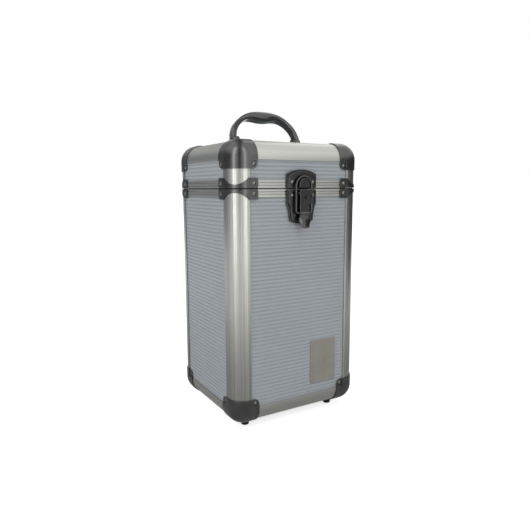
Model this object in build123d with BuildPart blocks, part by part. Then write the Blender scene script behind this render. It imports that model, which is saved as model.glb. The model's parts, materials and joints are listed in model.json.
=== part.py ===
from build123d import *

import os
from math import asin, cos, pi, radians, sin, sqrt

# Upright aluminium-framed carrying case with a hinged lid on top. Millimetres, +Z up, the front faces -Y,
# and the origin is on the floor under the middle of the case.

# Overall sizes
WIDTH = 200.0  # left face to right face
DEPTH = 177.0  # front face to back face
BODY_HEIGHT = 308.5  # bottom face to the top of the body's rim
SEAM = 1.4  # daylight between the shut lid and the body
LID_HEIGHT = 59.5  # lid's lower edge to its top face

# Round-edged extrusion of the posts and the edge rails
RAIL_LEG = 24.4  # how far each leg reaches from the corner
RAIL_RADIUS = 22.0
RAIL_WALL = 1.6
LIP = 1.2  # thickness of the two lips that hold a panel
SLOT_DEPTH = 5.4

# Rim rails round the mouth
RIM_HEIGHT = 10.0
RIM_SLOT_DEPTH = 6.6
RIM_GROOVE_WIDTH = 1.2
RIM_GROOVE_DEPTH = 0.5
DUST_LIP_HEIGHT = 2.0  # how far the body's inner lip stands up behind the lid's rim
DUST_LIP_PLAY = 0.9

# Panels
PANEL_THICKNESS = 4.0
PANEL_FIT = 0.1  # play between a panel and each lip
PANEL_END_GAP = 0.3  # play between a panel's edge and the floor of its slot
RIB_PITCH = 5.0
GROOVE_WIDTH = 1.5
GROOVE_DEPTH = 0.6

# Corner caps
CAP_LEG = 35.5
CAP_THICKNESS = 1.4
CAP_TAB_START = 25.8  # where the plate steps down to the sunk riveted tab
CAP_TAB_PROUD = 0.2
CAP_TAB_RADIUS = 7.0

# Rim corner braces
BRACE_LEG = 35.5
BRACE_THICKNESS = 1.2
BRACE_HEIGHT = 12.6
BRACE_BAND = 4.0  # height left where the brace passes the middle of the post
BRACE_CORNER_RADIUS = 1.6

# Rivets
RIVET_RADIUS = 1.5
RIVET_HOLE_PLAY = 0.05
RIVET_HEAD_RADIUS = 2.7
RIVET_HEAD_HEIGHT = 1.2
RIVET_TAIL = 1.0  # how far a rivet reaches past the panel's inner face
CAP_RIVET_INSET = 30.0
BRACE_RIVET_INSET = 29.8
BRACE_RIVET_HEIGHT = 5.8

# Feet, each with a spigot in the sunk tab of its cap and a stud through the bottom panel
FOOT_HEIGHT = 11.0
FOOT_RADIUS = 6.6
FOOT_TIP_RADIUS = 5.2
FOOT_SPIGOT_RADIUS = 4.0
FOOT_EDGE_RADIUS = 2.4

# Lining
LINING_GAP = 0.3
LINING_THICKNESS = 2.5
LINING_RADIUS = 9.0
LINING_RIM_DROP = 0.6

# Name plate on the front
PLATE_WIDTH = 42.0
PLATE_HEIGHT = 61.5
PLATE_THICKNESS = 1.2
PLATE_RIGHT_GAP = 39.4  # from the case's right face
PLATE_BOTTOM_GAP = 38.5  # from the case's bottom face
PLATE_CORNER_RADIUS = 1.0
PLATE_BORDER = 2.0
PLATE_BORDER_DEPTH = 0.3

# Draw latch. Levels are measured up from the middle of the seam, and "proud" is out from the front face.
LATCH_HALF_WIDTH = 22.9
LATCH_PROUD = 4.5
LATCH_FLANGE_PROUD = 2.2
LATCH_FLANGE_WIDTH = 1.6
LATCH_EDGE_RADIUS = 1.9
LATCH_RIVET_X = 16.1
STRIKE_BOTTOM = 0.9
STRIKE_SHOULDER = 18.5
STRIKE_TOP = 24.3
STRIKE_RIVET_LEVEL = 7.9
CATCH_HALF_WIDTH = 8.0
CATCH_TOP = 13.6
CATCH_PROUD = 10.0
CATCH_EDGE_RADIUS = 1.0
BASE_TOP = -1.7
BASE_SHOULDER = -19.8
BASE_WAIST = -25.5
BASE_WAIST_HALF_WIDTH = 20.2
BASE_HEEL = -41.8
BASE_HEEL_HALF_WIDTH = 17.8
BASE_BOTTOM = -45.7
BASE_RIVET_LEVEL = -8.7
CHANNEL_HALF_WIDTH = 10.2
CHANNEL_CORNER_RADIUS = 5.0
CHANNEL_FLOOR = 1.6
CHANNEL_BOTTOM = -41.0
PIVOT_LEVEL = -6.2
PIVOT_PROUD = 8.2
PIN_RADIUS = 1.2
RUNNING_PLAY = 0.06
WELD = 0.1  # how deep an upright runs into the plate that it stands on
LEVER_HALF_WIDTH = 8.0
EAR_GAP = 0.15  # between the lever and the ear on each side of it
EAR_THICKNESS = 1.4
EAR_RADIUS = 2.2
EAR_BASE_HALF_WIDTH = 3.2
LEVER_WALL = 1.5
LEVER_TOP_RADIUS = 4.9
LEVER_BLOCK_BOTTOM = -19.2
LEVER_FACE = 11.5  # face of the lock block, proud
LEVER_STEP = 1.7  # from the block's face back to the tongue's face
LEVER_NECK = -32.4
LEVER_NECK_HALF_WIDTH = 6.6
LEVER_SHOULDER = -38.6
LEVER_SHOULDER_HALF_WIDTH = 9.0
LEVER_ROUNDING = -46.8
LEVER_ROUNDING_HALF_WIDTH = 6.8
LEVER_TIP = -51.4
LEVER_FLARE = 3.2  # how far the tip stands off the tongue's face
LEVER_EDGE_RADIUS = 1.2
CHEEK_THICKNESS = 1.5
CHEEK_PROUD = 5.4
CHEEK_BOTTOM = -34.4
LOCK_LEVEL = -11.0
LOCK_RADIUS = 3.5
LOCK_RECESS = 0.6
LOCK_HOUSING_RADIUS = 4.6
LOCK_BACK = 8.2
KEYWAY_WIDTH = 1.3
KEYWAY_LENGTH = 4.6
KEYWAY_DEPTH = 2.0
SPINDLE_RADIUS = 1.3
CAM_LENGTH = 4.5
CAM_THICKNESS = 1.2
CAM_BACK = 5.0
KEEPER_HALF_WIDTH = 2.4
KEEPER_BOTTOM = -19.2
KEEPER_WALL = 1.8
KEEPER_TOP = -14.6
KEEPER_PROUD = 7.8
KEEPER_LIP = 1.2
BAIL_RADIUS = 1.4
BAIL_HALF_WIDTH = 12.1
BAIL_PROUD = 7.8
BAIL_LEVEL = -31.2
BAIL_ARCH_GAP = 0.6  # daylight between the bail and the top of the catch
BAIL_ARCH_HEIGHT = 14.0
BAIL_ARCH_RISE = 8.7  # how far up the arch's sides keep the legs' direction
BAIL_ARCH_CROWN = 5.8  # the same, each way from the middle of its top
BAIL_BEND_RADIUS = 2.6
BAIL_END = 5.4  # half the gap between the bail's two ends

# Back hinges
HINGE_BRACE_GAP = 2.5  # between a leaf and the brace beside it
HINGE_HALF_WIDTH = 18.0
HINGE_LEAF_THICKNESS = 1.6
HINGE_LEAF_HEIGHT = 24.0
HINGE_LEAF_GAP = 0.35  # from the middle of the seam
HINGE_PROUD = 5.4  # axis, out from the back face
HINGE_BARREL_RADIUS = 3.4
HINGE_PIN_RADIUS = 1.6
HINGE_MIDDLE_HALF_WIDTH = 7.0
HINGE_KNUCKLE_GAP = 0.3
HINGE_RIVET_X = 12.0
HINGE_RIVET_LEVEL = 17.5
HINGE_CORNER_RADIUS = 4.0

# Handle
HANDLE_TILT = 19.0  # degrees it leans back at rest
HANDLE_PIVOT_HEIGHT = 7.0  # above the top panel
HANDLE_HALF_WIDTH = 55.5  # outside of a leg, at the pivot
HANDLE_REACH = 43.5  # pivot to the top of the grip
HANDLE_SQUARENESS = 2.15
HANDLE_LEG_THICKNESS = 7.2
HANDLE_LEG_DEPTH = 12.5
HANDLE_LEG_ROUNDING = 2.6
HANDLE_BOSS_RADIUS = 6.7
HANDLE_BOSS_PROUD = 0.25  # how far the round boss at a pivot stands off each side of the leg
HANDLE_GRIP_THICKNESS = 14.2
HANDLE_GRIP_DEPTH = 20.0
HANDLE_GRIP_ROUNDING = 6.9
HANDLE_BELLY_START = 31.0  # where the grip begins to swell, from the middle of the case
HANDLE_BELLY_END = 5.0
HANDLE_STATIONS = 18
BRACKET_EAR_THICKNESS = 3.0
BRACKET_EAR_RADIUS = 6.0
BRACKET_FOOT_LENGTH = 14.0
BRACKET_FOOT_DEPTH = 16.0
BRACKET_FOOT_THICKNESS = 1.6
BRACKET_SIDE_GAP = 0.3
BRACKET_CORNER_RADIUS = 2.0
BRACKET_RIVET_SETBACK = 7.5
HANDLE_PIN_RADIUS = 2.0
HANDLE_PIN_DEPTH = 5.0  # into the handle's leg
HANDLE_PIN_HEAD_RADIUS = 3.4
HANDLE_PIN_HEAD = 1.4

# Levels and depths that follow from the sizes above
BASE_Z = FOOT_HEIGHT
RIM_Z = BASE_Z + BODY_HEIGHT
SEAM_Z = RIM_Z + SEAM / 2
LID_Z = RIM_Z + SEAM
TOP_Z = LID_Z + LID_HEIGHT
PANEL_TOP_Z = TOP_Z - LIP - PANEL_FIT
SLOT_WIDTH = PANEL_THICKNESS + 2 * PANEL_FIT
PANEL_OUTER = LIP + PANEL_FIT  # panel's outer face, in from the case's face
PANEL_INNER = PANEL_OUTER + PANEL_THICKNESS
RAIL_INNER = LIP + SLOT_WIDTH + LIP
SLOT_FLOOR = RAIL_LEG - SLOT_DEPTH
PANEL_START = SLOT_FLOOR + PANEL_END_GAP
RIVET_HOLE_RADIUS = RIVET_RADIUS + RIVET_HOLE_PLAY
RIVET_END = PANEL_INNER + RIVET_TAIL
HINGE_X = WIDTH / 2 - BRACE_LEG - HINGE_BRACE_GAP - HINGE_HALF_WIDTH
TOUCHING = 0.01  # lengths and places this close are the same
THROUGH = 4 * RAIL_INNER  # a cut this long passes right through a wall and all that is riveted to it
HALFWAY = sqrt(0.5)  # share of a radius, along each axis, at the middle of a quarter turn

# The four sides: direction along the side seen from outside, direction into the case, length, and the
# distance across to the opposite side. Each side starts at the corner on its left.
SIDES = {
    "front": (Vector(1, 0, 0), Vector(0, 1, 0), WIDTH, DEPTH),
    "right": (Vector(0, 1, 0), Vector(-1, 0, 0), DEPTH, WIDTH),
    "back": (Vector(-1, 0, 0), Vector(0, -1, 0), WIDTH, DEPTH),
    "left": (Vector(0, -1, 0), Vector(1, 0, 0), DEPTH, WIDTH),
}
START_CORNER = {
    "front": "front_left",
    "right": "front_right",
    "back": "back_right",
    "left": "back_left",
}
UP = Vector(0, 0, 1)


def side_length(side):
    return SIDES[side][2]


def corner_point(side, z):
    along, inward, length, across = SIDES[side]
    return along * (-length / 2) + inward * (-across / 2) + UP * z


def face_plane(side, z, depth=0.0):
    """Plane on a side's face: x along the side, y up, z outward."""
    along, inward, _, _ = SIDES[side]
    return Plane(corner_point(side, z) + inward * depth, x_dir=along, z_dir=-inward)


def run_plane(side, z, start=0.0):
    """Plane across a side's run: x into the case, y up, z along the side."""
    along, inward, _, _ = SIDES[side]
    return Plane(corner_point(side, z) + along * start, x_dir=inward, z_dir=along)


def hanging_run_plane(side, z, start=0.0):
    """Plane across a side's run: x into the case, y down, z back along the side."""
    along, inward, length, _ = SIDES[side]
    return Plane(corner_point(side, z) + along * (length - start), x_dir=inward, z_dir=-along)


def corner_plane(side, z):
    """Plane at a side's first corner: x along the side, y into the case, z up."""
    return Plane(corner_point(side, z), x_dir=SIDES[side][0], z_dir=UP)


def hanging_corner_plane(side, z):
    """Plane at a side's first corner: x into the case, y along the side, z down."""
    return Plane(corner_point(side, z), x_dir=SIDES[side][1], z_dir=-UP)


def save(piece, name):
    piece.part.label = name
    export_step(piece.part, f"parts/{name}.step")


def round_edged_rail(plane, length):
    """Extrusion whose outer corner is round; each leg ends in two lips that hold a panel."""
    web = SLOT_FLOOR - RAIL_WALL
    inner_radius = RAIL_RADIUS - RAIL_WALL
    web_foot = RAIL_RADIUS - sqrt(inner_radius**2 - (RAIL_RADIUS - web) ** 2)
    middle = RAIL_RADIUS * (1 - HALFWAY)
    inner_middle = RAIL_RADIUS - inner_radius * HALFWAY
    slot_far = LIP + SLOT_WIDTH
    first_leg = [
        (RAIL_LEG, 0),
        (RAIL_LEG, LIP),
        (SLOT_FLOOR, LIP),
        (SLOT_FLOOR, slot_far),
        (RAIL_LEG, slot_far),
        (RAIL_LEG, RAIL_INNER),
        (web, RAIL_INNER),
        (web, web_foot),
    ]
    second_leg = [(y, x) for x, y in reversed(first_leg)]
    with BuildPart() as rail:
        with BuildSketch(plane):
            with BuildLine():
                ThreePointArc((0, RAIL_RADIUS), (middle, middle), (RAIL_RADIUS, 0))
                Polyline((RAIL_RADIUS, 0), *first_leg)
                ThreePointArc((web, web_foot), (inner_middle, inner_middle), (web_foot, web))
                Polyline(*second_leg, (0, RAIL_RADIUS))
            make_face()
        extrude(amount=length)
    return rail


def panel_profile(start, height):
    """Ribbed sheet seen end on: x into the case, y up, with a groove at every rib pitch."""
    points = [(PANEL_OUTER, start)]
    groove = start + RIB_PITCH / 2
    while groove + GROOVE_WIDTH < start + height:
        points += [
            (PANEL_OUTER, groove),
            (PANEL_OUTER + GROOVE_DEPTH, groove),
            (PANEL_OUTER + GROOVE_DEPTH, groove + GROOVE_WIDTH),
            (PANEL_OUTER, groove + GROOVE_WIDTH),
        ]
        groove += RIB_PITCH
    return points + [
        (PANEL_OUTER, start + height),
        (PANEL_INNER, start + height),
        (PANEL_INNER, start),
    ]


def ribbed_panel(plane, start, height, length, hole_plane, holes):
    with BuildPart() as panel:
        with BuildSketch(plane):
            with BuildLine():
                Polyline(*panel_profile(start, height), close=True)
            make_face()
        extrude(amount=length)
        with BuildSketch(hole_plane):
            with Locations(*holes):
                Circle(RIVET_HOLE_RADIUS)
        extrude(amount=-THROUGH / 2, mode=Mode.SUBTRACT)
    return panel


def rim_rail(plane, length, hole_plane, holes, dust_lip):
    """Flat rail along the mouth, x into the case and y towards the panel. The body's has a dust lip."""
    slot_far = LIP + SLOT_WIDTH
    groove_step = RIM_HEIGHT / 3
    with BuildPart() as rail:
        with BuildSketch(plane):
            with Locations((RAIL_INNER / 2, RIM_HEIGHT / 2)):
                Rectangle(RAIL_INNER, RIM_HEIGHT)
            with Locations((LIP + SLOT_WIDTH / 2, RIM_HEIGHT - RIM_SLOT_DEPTH / 2)):
                Rectangle(SLOT_WIDTH, RIM_SLOT_DEPTH, mode=Mode.SUBTRACT)
            with Locations((0, groove_step), (0, 2 * groove_step)):
                Rectangle(2 * RIM_GROOVE_DEPTH, RIM_GROOVE_WIDTH, mode=Mode.SUBTRACT)
            if dust_lip:
                with Locations(((slot_far + RAIL_INNER) / 2, -DUST_LIP_HEIGHT / 2)):
                    Rectangle(LIP, DUST_LIP_HEIGHT)
            else:
                room = DUST_LIP_HEIGHT - SEAM + DUST_LIP_PLAY
                with Locations(((slot_far + RAIL_INNER - PANEL_END_GAP) / 2, room / 2)):
                    Rectangle(LIP + PANEL_END_GAP, room, mode=Mode.SUBTRACT)
        extrude(amount=length)
        with BuildSketch(hole_plane):
            with Locations(*holes):
                Circle(RIVET_HOLE_RADIUS)
        extrude(amount=-THROUGH / 2, mode=Mode.SUBTRACT)
    return rail


def rounded_corner_block(plane, low, high, radius):
    """Cube from low to high in the corner's frame, with its three nearest edges rounded into a ball."""
    with BuildPart() as block:
        with Locations(plane * Pos(low, low, low)):
            Box(high - low, high - low, high - low, align=(Align.MIN, Align.MIN, Align.MIN))
        tip = block.vertices().sort_by_distance(plane.from_local_coords((low, low, low)))[0]
        tip_edges = block.edges().filter_by(lambda e: e.distance_to(tip) < TOUCHING)
        fillet(tip_edges, radius)
    return block


def corner_cap(plane):
    """Three-sided cap over a corner, with a sunk riveted tab on each of its three faces."""
    shell_end = CAP_LEG
    core = rounded_corner_block(plane, 0, shell_end + CAP_THICKNESS, RAIL_RADIUS)
    shell = rounded_corner_block(plane, -CAP_THICKNESS, shell_end, RAIL_RADIUS + CAP_THICKNESS)
    tab_low = RAIL_LEG + PANEL_END_GAP
    tab_size = CAP_LEG - tab_low
    sunk_size = CAP_LEG - CAP_TAB_START
    tab_thickness = CAP_TAB_PROUD + LIP
    faces = [
        plane,
        Plane(plane.origin, x_dir=plane.y_dir, z_dir=plane.x_dir),
        Plane(plane.origin, x_dir=plane.z_dir, z_dir=plane.y_dir),
    ]
    with BuildPart() as cap:
        add(shell.part)
        add(core.part, mode=Mode.SUBTRACT)
        for face in faces:
            with BuildSketch(face.offset(-CAP_THICKNESS)):
                with Locations((CAP_TAB_START, CAP_TAB_START)):
                    Rectangle(sunk_size, sunk_size, align=(Align.MIN, Align.MIN))
            extrude(amount=CAP_THICKNESS, mode=Mode.SUBTRACT)
            with BuildSketch(face.offset(-CAP_TAB_PROUD)) as tab:
                with Locations((tab_low, tab_low)):
                    Rectangle(tab_size, tab_size, align=(Align.MIN, Align.MIN))
                far_corner = tab.vertices().sort_by_distance((CAP_LEG, CAP_LEG, 0))[0]
                fillet(far_corner, CAP_TAB_RADIUS)
            extrude(amount=tab_thickness)
            with BuildSketch(face.offset(-CAP_THICKNESS)):
                with Locations((CAP_RIVET_INSET, CAP_RIVET_INSET)):
                    Circle(RIVET_HOLE_RADIUS)
            extrude(amount=THROUGH / 2, mode=Mode.SUBTRACT)
    return cap


def cap_rivet_seats(plane):
    """Planes under the three rivet heads of a corner cap, facing out of the case."""
    inset = CAP_RIVET_INSET
    proud = -CAP_TAB_PROUD
    x, y, z = plane.x_dir, plane.y_dir, plane.z_dir
    origin = plane.origin
    return [
        Plane(origin + x * inset + y * inset + z * proud, x_dir=x, z_dir=-z),
        Plane(origin + y * inset + z * inset + x * proud, x_dir=y, z_dir=-x),
        Plane(origin + z * inset + x * inset + y * proud, x_dir=z, z_dir=-y),
    ]


def rim_brace(plane):
    """Angle wrapped round a post beside the seam, hollowed to a narrow band over the post's middle."""
    outer_radius = RAIL_RADIUS + BRACE_THICKNESS
    middle = RAIL_RADIUS * (1 - HALFWAY)
    outer_middle = RAIL_RADIUS - outer_radius * HALFWAY
    half_chord = RAIL_LEG * HALFWAY
    rise = BRACE_HEIGHT - BRACE_BAND
    hollow_radius = (half_chord**2 + rise**2) / (2 * rise)
    diagonal = (plane.x_dir + plane.y_dir).normalized()
    across = (plane.x_dir - plane.y_dir).normalized()
    centre = plane.origin + plane.z_dir * (BRACE_BAND + hollow_radius) - diagonal * RAIL_RADIUS
    with BuildPart() as brace:
        with BuildSketch(plane):
            with BuildLine():
                Line((BRACE_LEG, 0), (RAIL_RADIUS, 0))
                ThreePointArc((RAIL_RADIUS, 0), (middle, middle), (0, RAIL_RADIUS))
                Polyline((0, RAIL_RADIUS), (0, BRACE_LEG), (-BRACE_THICKNESS, BRACE_LEG))
                Line((-BRACE_THICKNESS, BRACE_LEG), (-BRACE_THICKNESS, RAIL_RADIUS))
                ThreePointArc(
                    (-BRACE_THICKNESS, RAIL_RADIUS),
                    (outer_middle, outer_middle),
                    (RAIL_RADIUS, -BRACE_THICKNESS),
                )
                Polyline(
                    (RAIL_RADIUS, -BRACE_THICKNESS),
                    (BRACE_LEG, -BRACE_THICKNESS),
                    (BRACE_LEG, 0),
                )
            make_face()
        extrude(amount=BRACE_HEIGHT)
        with BuildSketch(Plane(centre, x_dir=across, z_dir=diagonal)):
            Circle(hollow_radius)
        extrude(amount=2 * RAIL_RADIUS, mode=Mode.SUBTRACT)
        short = brace.edges().filter_by(lambda e: abs(e.length - BRACE_THICKNESS) < TOUCHING)
        tips = short.filter_by(lambda e: (e.center() - plane.origin).length > BRACE_LEG)
        fillet(tips, BRACE_CORNER_RADIUS)
    return brace


def rivet_form(seat_depth):
    """Dome-headed rivet standing on its seat, with a shank that reaches past the panel's inner face."""
    shank = RIVET_END - seat_depth
    dome_radius = (RIVET_HEAD_RADIUS**2 + RIVET_HEAD_HEIGHT**2) / (2 * RIVET_HEAD_HEIGHT)
    half_angle = asin(RIVET_HEAD_RADIUS / dome_radius) / 2
    shoulder = dome_radius * sin(half_angle)
    crown = RIVET_HEAD_HEIGHT - dome_radius * (1 - cos(half_angle))
    with BuildPart() as rivet:
        with BuildSketch(Plane.XZ):
            with BuildLine():
                Polyline((0, RIVET_HEAD_HEIGHT), (0, -shank), (RIVET_RADIUS, -shank), (RIVET_RADIUS, 0))
                Line((RIVET_RADIUS, 0), (RIVET_HEAD_RADIUS, 0))
                ThreePointArc((RIVET_HEAD_RADIUS, 0), (shoulder, crown), (0, RIVET_HEAD_HEIGHT))
            make_face()
        revolve(axis=Axis.Z)
    return rivet


def place_forms(form, seats):
    with Locations(*[seat.location for seat in seats]):
        add(form.part)


def drill(seats, radius=RIVET_HOLE_RADIUS):
    with Locations(*[seat.location for seat in seats]):
        Cylinder(radius, THROUGH, mode=Mode.SUBTRACT)


def face_seats(side, points, z, depth):
    """Planes on a side, facing out, at points that are measured along the side and up from z."""
    face = face_plane(side, z, depth)
    return [Plane(face.from_local_coords((x, y, 0)), x_dir=face.x_dir, z_dir=face.z_dir) for x, y in points]


def side_profile_plane(x, level, out):
    """Plane seen from the left in the latch or hinge: x away from the case towards out, y up."""
    return Plane(level + Vector(x, 0, 0), x_dir=out, z_dir=out.cross(UP))


def brace_points(side, height):
    return [(BRACE_RIVET_INSET, height), (side_length(side) - BRACE_RIVET_INSET, height)]


def cap_points(side, height):
    return [(CAP_RIVET_INSET, height), (side_length(side) - CAP_RIVET_INSET, height)]


def latch_points(level):
    return [(WIDTH / 2 - LATCH_RIVET_X, level), (WIDTH / 2 + LATCH_RIVET_X, level)]


def hinge_points(level):
    centres = [WIDTH / 2 - HINGE_X, WIDTH / 2 + HINGE_X]
    return [(centre + x, level) for centre in centres for x in (-HINGE_RIVET_X, HINGE_RIVET_X)]


os.makedirs("parts", exist_ok=True)

# Rivet places on each side, as heights above the body's bottom face or above the lid's lower edge
SEAM_ABOVE_BASE = SEAM_Z - BASE_Z
SEAM_ABOVE_LID = SEAM_Z - LID_Z
body_holes = {side: brace_points(side, BODY_HEIGHT - BRACE_RIVET_HEIGHT) for side in SIDES}
body_holes["front"] += latch_points(SEAM_ABOVE_BASE + BASE_RIVET_LEVEL)
lid_holes = {side: brace_points(side, BRACE_RIVET_HEIGHT) for side in SIDES}
lid_holes["front"] += latch_points(SEAM_ABOVE_LID + STRIKE_RIVET_LEVEL)

# Wall panels
PANEL_TOP_GAP = RIM_HEIGHT - RIM_SLOT_DEPTH + PANEL_END_GAP
panel_height = BODY_HEIGHT - PANEL_START - PANEL_TOP_GAP
lid_panel_height = LID_HEIGHT - PANEL_START - PANEL_TOP_GAP
for side in SIDES:
    holes = body_holes[side] + cap_points(side, CAP_RIVET_INSET)
    lid_panel_holes = lid_holes[side] + cap_points(side, LID_HEIGHT - CAP_RIVET_INSET)
    if side == "back":
        holes += hinge_points(SEAM_ABOVE_BASE - HINGE_RIVET_LEVEL)
        lid_panel_holes += hinge_points(SEAM_ABOVE_LID + HINGE_RIVET_LEVEL)
    panel_length = side_length(side) - 2 * PANEL_START
    panel = ribbed_panel(
        run_plane(side, BASE_Z, PANEL_START),
        PANEL_START,
        panel_height,
        panel_length,
        face_plane(side, BASE_Z, -PANEL_OUTER),
        holes,
    )
    save(panel, f"{side}_panel")
    lid_panel = ribbed_panel(
        run_plane(side, LID_Z, PANEL_START),
        PANEL_TOP_GAP,
        lid_panel_height,
        panel_length,
        face_plane(side, LID_Z, -PANEL_OUTER),
        lid_panel_holes,
    )
    save(lid_panel, f"lid_{side}_panel")

# Bottom panel, plain
with BuildPart() as bottom_panel:
    with BuildSketch(Plane.XY.offset(BASE_Z + PANEL_OUTER)):
        Rectangle(WIDTH - 2 * PANEL_START, DEPTH - 2 * PANEL_START)
        with GridLocations(WIDTH - 2 * CAP_RIVET_INSET, DEPTH - 2 * CAP_RIVET_INSET, 2, 2):
            Circle(RIVET_HOLE_RADIUS, mode=Mode.SUBTRACT)
    extrude(amount=PANEL_THICKNESS)
save(bottom_panel, "bottom_panel")

# Top panel, ribbed from side to side, with holes for the bracket rivets
HANDLE_INNER = HANDLE_HALF_WIDTH - HANDLE_LEG_THICKNESS - HANDLE_BOSS_PROUD
BRACKET_OUTER = HANDLE_INNER - BRACKET_SIDE_GAP
BRACKET_INNER = BRACKET_OUTER - BRACKET_EAR_THICKNESS
BRACKET_RIVET_X = BRACKET_INNER - BRACKET_RIVET_SETBACK
top_panel_plane = Plane((-WIDTH / 2 + PANEL_START, -DEPTH / 2, TOP_Z), x_dir=(0, 0, -1), z_dir=(1, 0, 0))
with BuildPart() as lid_top_panel:
    with BuildSketch(top_panel_plane):
        with BuildLine():
            Polyline(*panel_profile(PANEL_START, DEPTH - 2 * PANEL_START), close=True)
        make_face()
    extrude(amount=WIDTH - 2 * PANEL_START)
    with BuildSketch(Plane.XY.offset(TOP_Z)):
        with GridLocations(WIDTH - 2 * CAP_RIVET_INSET, DEPTH - 2 * CAP_RIVET_INSET, 2, 2):
            Circle(RIVET_HOLE_RADIUS)
        with Locations((-BRACKET_RIVET_X, 0), (BRACKET_RIVET_X, 0)):
            Circle(RIVET_HOLE_RADIUS)
    extrude(amount=-THROUGH / 2, mode=Mode.SUBTRACT)
save(lid_top_panel, "lid_top_panel")

# Posts: four tall ones on the body, and four short ones in one group on the lid
for side in SIDES:
    post = round_edged_rail(corner_plane(side, BASE_Z + RAIL_LEG), BODY_HEIGHT - RAIL_LEG)
    save(post, f"post_{START_CORNER[side]}")

lid_post_forms = [round_edged_rail(corner_plane(side, LID_Z), LID_HEIGHT - RAIL_LEG) for side in SIDES]
with BuildPart() as lid_posts:
    add([form.part for form in lid_post_forms])
save(lid_posts, "lid_posts")

# Edge rails along the bottom of the body and the top of the lid, and rim rails on both sides of the seam
for side in SIDES:
    run = side_length(side) - 2 * RAIL_LEG
    save(round_edged_rail(run_plane(side, BASE_Z, RAIL_LEG), run), f"base_rail_{side}")
    save(round_edged_rail(hanging_run_plane(side, TOP_Z, RAIL_LEG), run), f"lid_top_rail_{side}")
    body_rim = rim_rail(
        hanging_run_plane(side, RIM_Z, RAIL_LEG),
        run,
        face_plane(side, BASE_Z, -PANEL_OUTER),
        body_holes[side],
        dust_lip=True,
    )
    save(body_rim, f"rim_rail_{side}")
    lid_rim = rim_rail(
        run_plane(side, LID_Z, RAIL_LEG),
        run,
        face_plane(side, LID_Z, -PANEL_OUTER),
        lid_holes[side],
        dust_lip=False,
    )
    save(lid_rim, f"lid_rim_rail_{side}")

# Corner caps
for side in SIDES:
    save(corner_cap(corner_plane(side, BASE_Z)), f"base_cap_{START_CORNER[side]}")
    save(corner_cap(hanging_corner_plane(side, TOP_Z)), f"lid_cap_{START_CORNER[side]}")

# Rim corner braces, four in a group on the body and four on the lid
brace_seats = []
lid_brace_seats = []
for side in SIDES:
    low_points = brace_points(side, BODY_HEIGHT - BRACE_RIVET_HEIGHT)
    high_points = brace_points(side, BRACE_RIVET_HEIGHT)
    brace_seats += face_seats(side, low_points, BASE_Z, -BRACE_THICKNESS)
    lid_brace_seats += face_seats(side, high_points, LID_Z, -BRACE_THICKNESS)

brace_forms = [rim_brace(hanging_corner_plane(side, RIM_Z)) for side in SIDES]
with BuildPart() as rim_braces:
    add([form.part for form in brace_forms])
    drill(brace_seats)
save(rim_braces, "rim_braces")

lid_brace_forms = [rim_brace(corner_plane(side, LID_Z)) for side in SIDES]
with BuildPart() as lid_rim_braces:
    add([form.part for form in lid_brace_forms])
    drill(lid_brace_seats)
save(lid_rim_braces, "lid_rim_braces")

# Feet
foot_spigot = BASE_Z - CAP_TAB_PROUD
foot_shoulder = BASE_Z - CAP_THICKNESS
with BuildPart() as foot:
    with BuildSketch(Plane.XZ):
        with BuildLine():
            Polyline(
                (0, 0),
                (FOOT_TIP_RADIUS, 0),
                (FOOT_RADIUS, foot_shoulder),
                (FOOT_SPIGOT_RADIUS, foot_shoulder),
                (FOOT_SPIGOT_RADIUS, foot_spigot),
                (RIVET_RADIUS, foot_spigot),
                (RIVET_RADIUS, BASE_Z + RIVET_END),
                (0, BASE_Z + RIVET_END),
                close=True,
            )
        make_face()
    revolve(axis=Axis.Z)
    fillet(foot.edges().group_by(Axis.Z)[0], FOOT_EDGE_RADIUS)

with BuildPart() as feet:
    with GridLocations(WIDTH - 2 * CAP_RIVET_INSET, DEPTH - 2 * CAP_RIVET_INSET, 2, 2):
        add(foot.part)
save(feet, "feet")


def lining(plane, height):
    """Open tub that stands off the frame all round; the plane is its floor, facing the opening."""
    outset = RAIL_INNER + LINING_GAP
    with BuildPart() as tub:
        with BuildSketch(plane):
            RectangleRounded(WIDTH - 2 * outset, DEPTH - 2 * outset, LINING_RADIUS)
        extrude(amount=height)
        floor = tub.faces().sort_by_distance(plane.origin)[0]
        mouth = tub.faces().sort_by_distance(plane.origin + plane.z_dir * height)[0]
        fillet(floor.edges(), LINING_RADIUS)
        offset(amount=-LINING_THICKNESS, openings=mouth)
    return tub


lining_floor = RAIL_INNER + LINING_GAP
case_lining = lining(Plane.XY.offset(BASE_Z + lining_floor), BODY_HEIGHT - lining_floor - LINING_RIM_DROP)
save(case_lining, "case_liner")
lid_lining_plane = Plane((0, 0, TOP_Z - lining_floor), x_dir=(1, 0, 0), z_dir=(0, 0, -1))
lid_lining = lining(lid_lining_plane, LID_HEIGHT - lining_floor - DUST_LIP_HEIGHT - LINING_RIM_DROP)
save(lid_lining, "lid_liner")

# Name plate: a bare sheet with a raised border
plate_x = WIDTH / 2 - PLATE_RIGHT_GAP - PLATE_WIDTH / 2
plate_z = BASE_Z + PLATE_BOTTOM_GAP + PLATE_HEIGHT / 2
plate_back = Plane((plate_x, -DEPTH / 2 + PANEL_OUTER, plate_z), x_dir=(1, 0, 0), z_dir=(0, -1, 0))
with BuildPart() as name_plate:
    with BuildSketch(plate_back):
        RectangleRounded(PLATE_WIDTH, PLATE_HEIGHT, PLATE_CORNER_RADIUS)
    extrude(amount=PLATE_THICKNESS)
    with BuildSketch(plate_back.offset(PLATE_THICKNESS)):
        Rectangle(PLATE_WIDTH - 2 * PLATE_BORDER, PLATE_HEIGHT - 2 * PLATE_BORDER)
    extrude(amount=-PLATE_BORDER_DEPTH, mode=Mode.SUBTRACT)
save(name_plate, "name_plate")

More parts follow.
